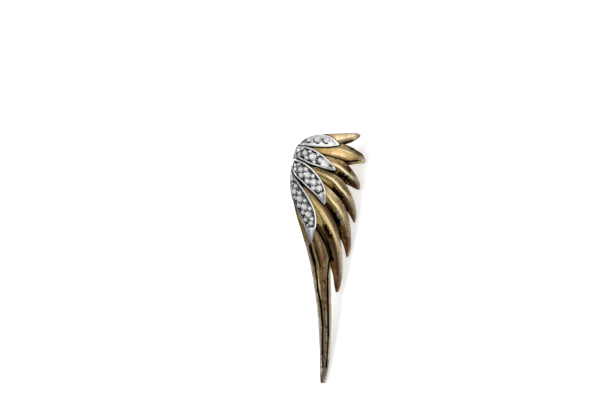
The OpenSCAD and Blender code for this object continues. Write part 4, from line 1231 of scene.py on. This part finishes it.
def brilliant(index, d, place, normal, random):
    """Round brilliant: table, stars, kites, girdle, and a pavilion down to its point."""
    points = np.concatenate([
        disc_ring(0, 0, CROWN_SHARE * d, TABLE_SHARE * d / 2, 8),
        disc_ring(0, 0, KITE_HEIGHT * CROWN_SHARE * d, KITE_RADIUS * d, 8, 0.5),
        disc_ring(0, 0, GIRDLE_HALF * d, d / 2, 16),
        disc_ring(0, 0, -GIRDLE_HALF * d, d / 2, 16),
        disc_ring(0, 0, -KNEE_HEIGHT * PAVILION_SHARE * d, KNEE_RADIUS * d, 8, 0.5),
        [[0, 0, -PAVILION_SHARE * d]]])
    kite, upper, lower, knee, tip = 8, 16, 32, 48, 56
    faces = [list(range(8))]
    for i in range(8):
        before, after = (i - 1) % 8, (i + 1) % 8
        a, b, c = 2 * i, 2 * i + 1, (2 * i + 2) % 16
        faces += [[i, kite + i, after], [i, kite + before, upper + a, kite + i],
                  [kite + i, upper + a, upper + b], [kite + i, upper + b, upper + c],
                  [upper + a, lower + a, lower + b, upper + b],
                  [upper + b, lower + b, lower + c, upper + c],
                  [lower + a, knee + i, lower + b], [lower + b, knee + i, lower + c],
                  [lower + a, knee + before, tip, knee + i]]
    # Painted reflections: a random tone for each facet, darker round the girdle, and painted shade
    # on a stone that leans to the left
    tones = [TABLE_TONE]
    for i in range(len(faces) - 1):
        tone = GIRDLE_TONES if i % EIGHTH_FACETS in GIRDLE_FACETS else FACET_TONES
        tones.append(random.uniform(*tone))
    shade = STONE_TONES[index] * (1 - LEAN_SHADE * max(0, -normal[0]))
    paints = [(shade * tone,) * 3 + (1,) for tone in tones]
    points = stood(points, place + STONE_LIFT * normal, normal, random.uniform(0, STONE_TURN))
    return solid("stone", points, faces, paints, crystal)


def bed_shade(index, flat):
    """Painted shade on a covert's bed at drawn places: darkest close round the stones. In the
    first covert it is a painted shadow that lies only below and to the left of them."""
    dark = np.full(flat.shape[:-1], float(BED_SHADE[index]))
    for x, y, d in STONES[index]:
        dx, dy = flat[..., 0] - x, flat[..., 1] - y
        away = np.hypot(dx, dy)
        ring = bell(away - SETTING_SHARE * d / 2 - SHADOW_OUT, STONE_SHADOW[index])
        if index == 0:
            beside = step(-(dy + SHADOW_LEAN * dx) / np.maximum(away, TINY), *SHADOW_SIDE)
            ring = step(ring * beside, *SHADOW_CRISP)
        dark = np.maximum(dark, ring)
    return np.maximum(dark, stroked(BED_SHADOW_SPOTS, flat))


def plate(index):
    """Thin plate on a covert's bed, which carries its stones and beads."""
    first, last = BEDS[index]
    u = np.linspace(first + PLATE_END, last - PLATE_END, PLATE_ROWS)
    rows, wide = sections(COVERTS[index], u)
    low = np.minimum(TRAIL_RIM + PLATE_INSET, PLATE_MOST * wide)
    high = wide - np.minimum(LEAD_RIM + PLATE_INSET, PLATE_MOST * wide)
    x = low + (high - low) * np.linspace(0, 1, PLATE_POINTS)[None, :]
    bed = dome(rows, x / wide) - BED_DEPTH
    flat = across(rows, x)
    underside = raised(flat, bed - PLATE_DEPTH)[:, ::-1]
    rings = beside([raised(flat, bed + PLATE_RISE), underside])
    # Painted shade round the stones and along the rims, and painted sheen where there is no shade
    dark = np.maximum(bed_shade(index, flat), bell(x - low, RIM_SHADOW) * BED_SHADE[index])
    paint = np.zeros(rings.shape[:2] + (4,))
    paint[..., 0] = beside([dark, dark[:, ::-1]])
    paint[..., 2] = BED_SHINE[index] * (1 - paint[..., 0])
    return skin(f"stones_{index + 1}_field", rings, paint, silver)


def bead(place, normal, radius):
    """Bead of metal raised beside a stone."""
    stacks, sides = BEAD_STACKS, BEAD_SIDES
    turns = [math.pi * i / stacks for i in range(1, stacks)]
    rings = [disc_ring(0, 0, radius * math.cos(a), radius * math.sin(a), sides) for a in turns]
    points = np.concatenate(rings + [[[0, 0, radius], [0, 0, -radius]]])
    top, bottom = len(points) - 2, len(points) - 1
    faces = []
    for k in range(sides):
        n = (k + 1) % sides
        faces.append([top, k, n])
        for low in range(0, (stacks - 2) * sides, sides):
            faces.append([low + k, low + sides + k, low + sides + n, low + n])
        faces.append([bottom, (stacks - 2) * sides + n, (stacks - 2) * sides + k])
    # A bead carries the full painted sheen
    paints = [(0, 0, 1, 1)] * len(faces)
    return solid("bead", stood(points, place, normal, 0), faces, paints, silver)


def beads(index):
    """Beads of metal in the widest places left between the stones, each where the most room is."""
    first, last = BEDS[index]
    u = np.linspace(first + BEAD_END, last - BEAD_END, BEAD_ROWS)
    rows, wide = sections(COVERTS[index], u)
    trail, lead = rims(wide)
    low, high = trail + BED_WALL, wide - lead - BED_WALL
    x = low + (high - low) * np.linspace(0, 1, BEAD_POINTS)[None, :]
    free = across(rows, x).reshape(-1, 2)
    room = np.full(len(free), 1.0)
    for x, y, d in STONES[index]:
        room = np.minimum(room, np.linalg.norm(free - [x, y], axis=1) - d / 2)
    made = []
    while room.max() > BEAD_LEAST:
        best = int(room.argmax())
        radius = min(BEAD_MOST, room[best] + BEAD_SPILL)
        place, normal = spot(index, *free[best])
        made.append(bead(place + BEAD_RISE * normal, normal, radius))
        away = np.linalg.norm(free - free[best], axis=1)
        room = np.minimum(room, away - BEAD_APART)
    return made


def stone_field(index):
    """Stones and beads of a covert, fused to their plate."""
    random = np.random.default_rng(RANDOM_SEED + index)
    field = plate(index)
    others = beads(index)
    for x, y, d in STONES[index]:
        place, normal = spot(index, x, y)
        others.append(brilliant(index, SETTING_SHARE * d, place, normal, random))
    combine(field, "UNION", others)
    smooth(field)
    for face in field.data.polygons:
        if field.data.materials[face.material_index] == crystal:
            face.use_smooth = False
    return field


def ear_post():
    """Post and pad, turned in one piece, with the groove that a clutch clicks into."""
    pad, post, end = PAD_D / 2, POST_D / 2, PAD_T + POST_LENGTH
    profile = [(pad - inward, above) for inward, above in PAD_BACK]
    profile += [(pad - inward, PAD_T - below) for inward, below in PAD_FRONT]
    profile += [(post + out, PAD_T + above) for out, above in POST_FOOT]
    profile += [(post - inward, end - back) for inward, back in POST_GROOVE]
    profile += [(post - inward, end + past) for inward, past in POST_END]
    profile += [(POST_TIP_RADIUS, end + POST_TIP)]
    rings = [disc_ring(POST_X, POST_Y, -BACK_GAP - z, radius, POST_SIDES) for radius, z in profile]
    rings = np.stack(rings)
    piece = skin("ear_post_body", rings, plain_paint(rings, (0, 0, 0, 0)), steel)
    smooth(piece)
    return piece


wing_body = wing()
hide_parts("wing")
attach(wing_body, "root")
for i in range(len(COVERTS)):
    covert_body = covert(i)
    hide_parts(f"covert_{i + 1}")
    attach(covert_body, "root")
    field_body = stone_field(i)
    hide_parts(f"stones_{i + 1}")
    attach(field_body, "root")
post_body = ear_post()
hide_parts("ear_post")
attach(post_body, "root")

# Stage: a pale floor, a camera square to the drawn wing, and a pale room with dark screens

FLOOR_RADIUS = 1.2
FLOOR_SIDES = 96
floor_mesh = bpy.data.meshes.new("floor")
floor_ring = disc_ring(0, 0, 0, FLOOR_RADIUS, FLOOR_SIDES).tolist()
floor_mesh.from_pydata(floor_ring, [], [list(range(FLOOR_SIDES))])
new_object(floor_mesh, floor_paper())

# The photograph is 600 by 400 pixels, at 0.2 millimetres a pixel on the drawn wing
PHOTO_WIDTH_MM = 120
SENSOR_MM = 36
VIEW_X, VIEW_Y = -4, 36.6
VIEW_DISTANCE = 0.7
camera_data = bpy.data.cameras.new("camera")
camera_data.sensor_width = SENSOR_MM
camera_data.lens = SENSOR_MM * VIEW_DISTANCE / (PHOTO_WIDTH_MM * MM)
camera_data.clip_start = 0.01
camera_data.clip_end = 10
camera = new_object(camera_data)
turned = Matrix((right, up, front)).transposed().to_4x4()
seen = Vector(in_world([VIEW_X, VIEW_Y, 0]))
camera.matrix_world = Matrix.Translation(seen + VIEW_DISTANCE * front) @ turned
bpy.context.scene.camera = camera

# Dark screens in the room: direction, angles from it within which a screen is full and beyond
# which it ends, in degrees, and strength
SCREENS = [((-0.22, -0.75, 0.62), 24, 36, 1), ((-0.35, -0.12, 0.93), 16, 34, 0.6),
           ((-0.88, -0.1, 0.46), 20, 34, 0.7)]
SCREEN_SHADE = 0.5
# Angles of the glow behind the camera, its strength, and the light of the rest of the room
GLOW_ANGLES = (6, 34)
GLOW = 1.0
ROOM_LIGHT = 0.64
# Panels of the room: how small, how sharply they differ, and their least and most light
PANEL_SCALE = 2.6
PANEL_EDGES = (0.44, 0.56)
PANEL_LIGHTS = (0.72, 1.12)
KEY_DIRECTION = Vector((-0.5, 0.1, 0.86)).normalized()
KEY_DISTANCE = 0.9
KEY_SIZE = 0.7
KEY_WATTS = 4

world = bpy.data.worlds.new("room")
bpy.context.scene.world = world
world.use_nodes = True
room = Graph(world.node_tree)
direction = room.nodes.new("ShaderNodeTexCoord").outputs["Generated"]


def lobe(centre, inner, outer):
    """1 within inner degrees of a direction, 0 beyond outer degrees of it."""
    node = room.nodes.new("ShaderNodeVectorMath")
    node.operation = "DOT_PRODUCT"
    room.feed(node, {0: direction, 1: Vector(centre).normalized()})
    return room.spread(node.outputs["Value"], math.cos(math.radians(outer)),
                       math.cos(math.radians(inner)))


screen = 0
for centre, inner, outer, strength in SCREENS:
    shade = room.maths("MULTIPLY", lobe(centre, inner, outer), strength)
    screen = room.maths("MAXIMUM", shade, screen)
light = room.maths("MULTIPLY_ADD", lobe(front, *GLOW_ANGLES), GLOW, ROOM_LIGHT)
panels = room.noise(direction, 1, 0.4, PANEL_SCALE)
light = room.maths("MULTIPLY", light, room.spread(panels, *PANEL_EDGES, *PANEL_LIGHTS))
shaded = room.maths("MULTIPLY_ADD", screen, -SCREEN_SHADE, 1.0)
room.feed(room.nodes["Background"], {
    "Strength": room.maths("MULTIPLY", light, shaded), "Color": WHITE})

key_data = bpy.data.lights.new("key", "AREA")
key_data.shape = "DISK"
key_data.size = KEY_SIZE
key_data.energy = KEY_WATTS
key = new_object(key_data)
key.location = KEY_DISTANCE * KEY_DIRECTION
key.rotation_mode = "QUATERNION"
key.rotation_quaternion = KEY_DIRECTION.to_track_quat("Z", "Y")

bpy.context.scene.view_settings.view_transform = "Standard"
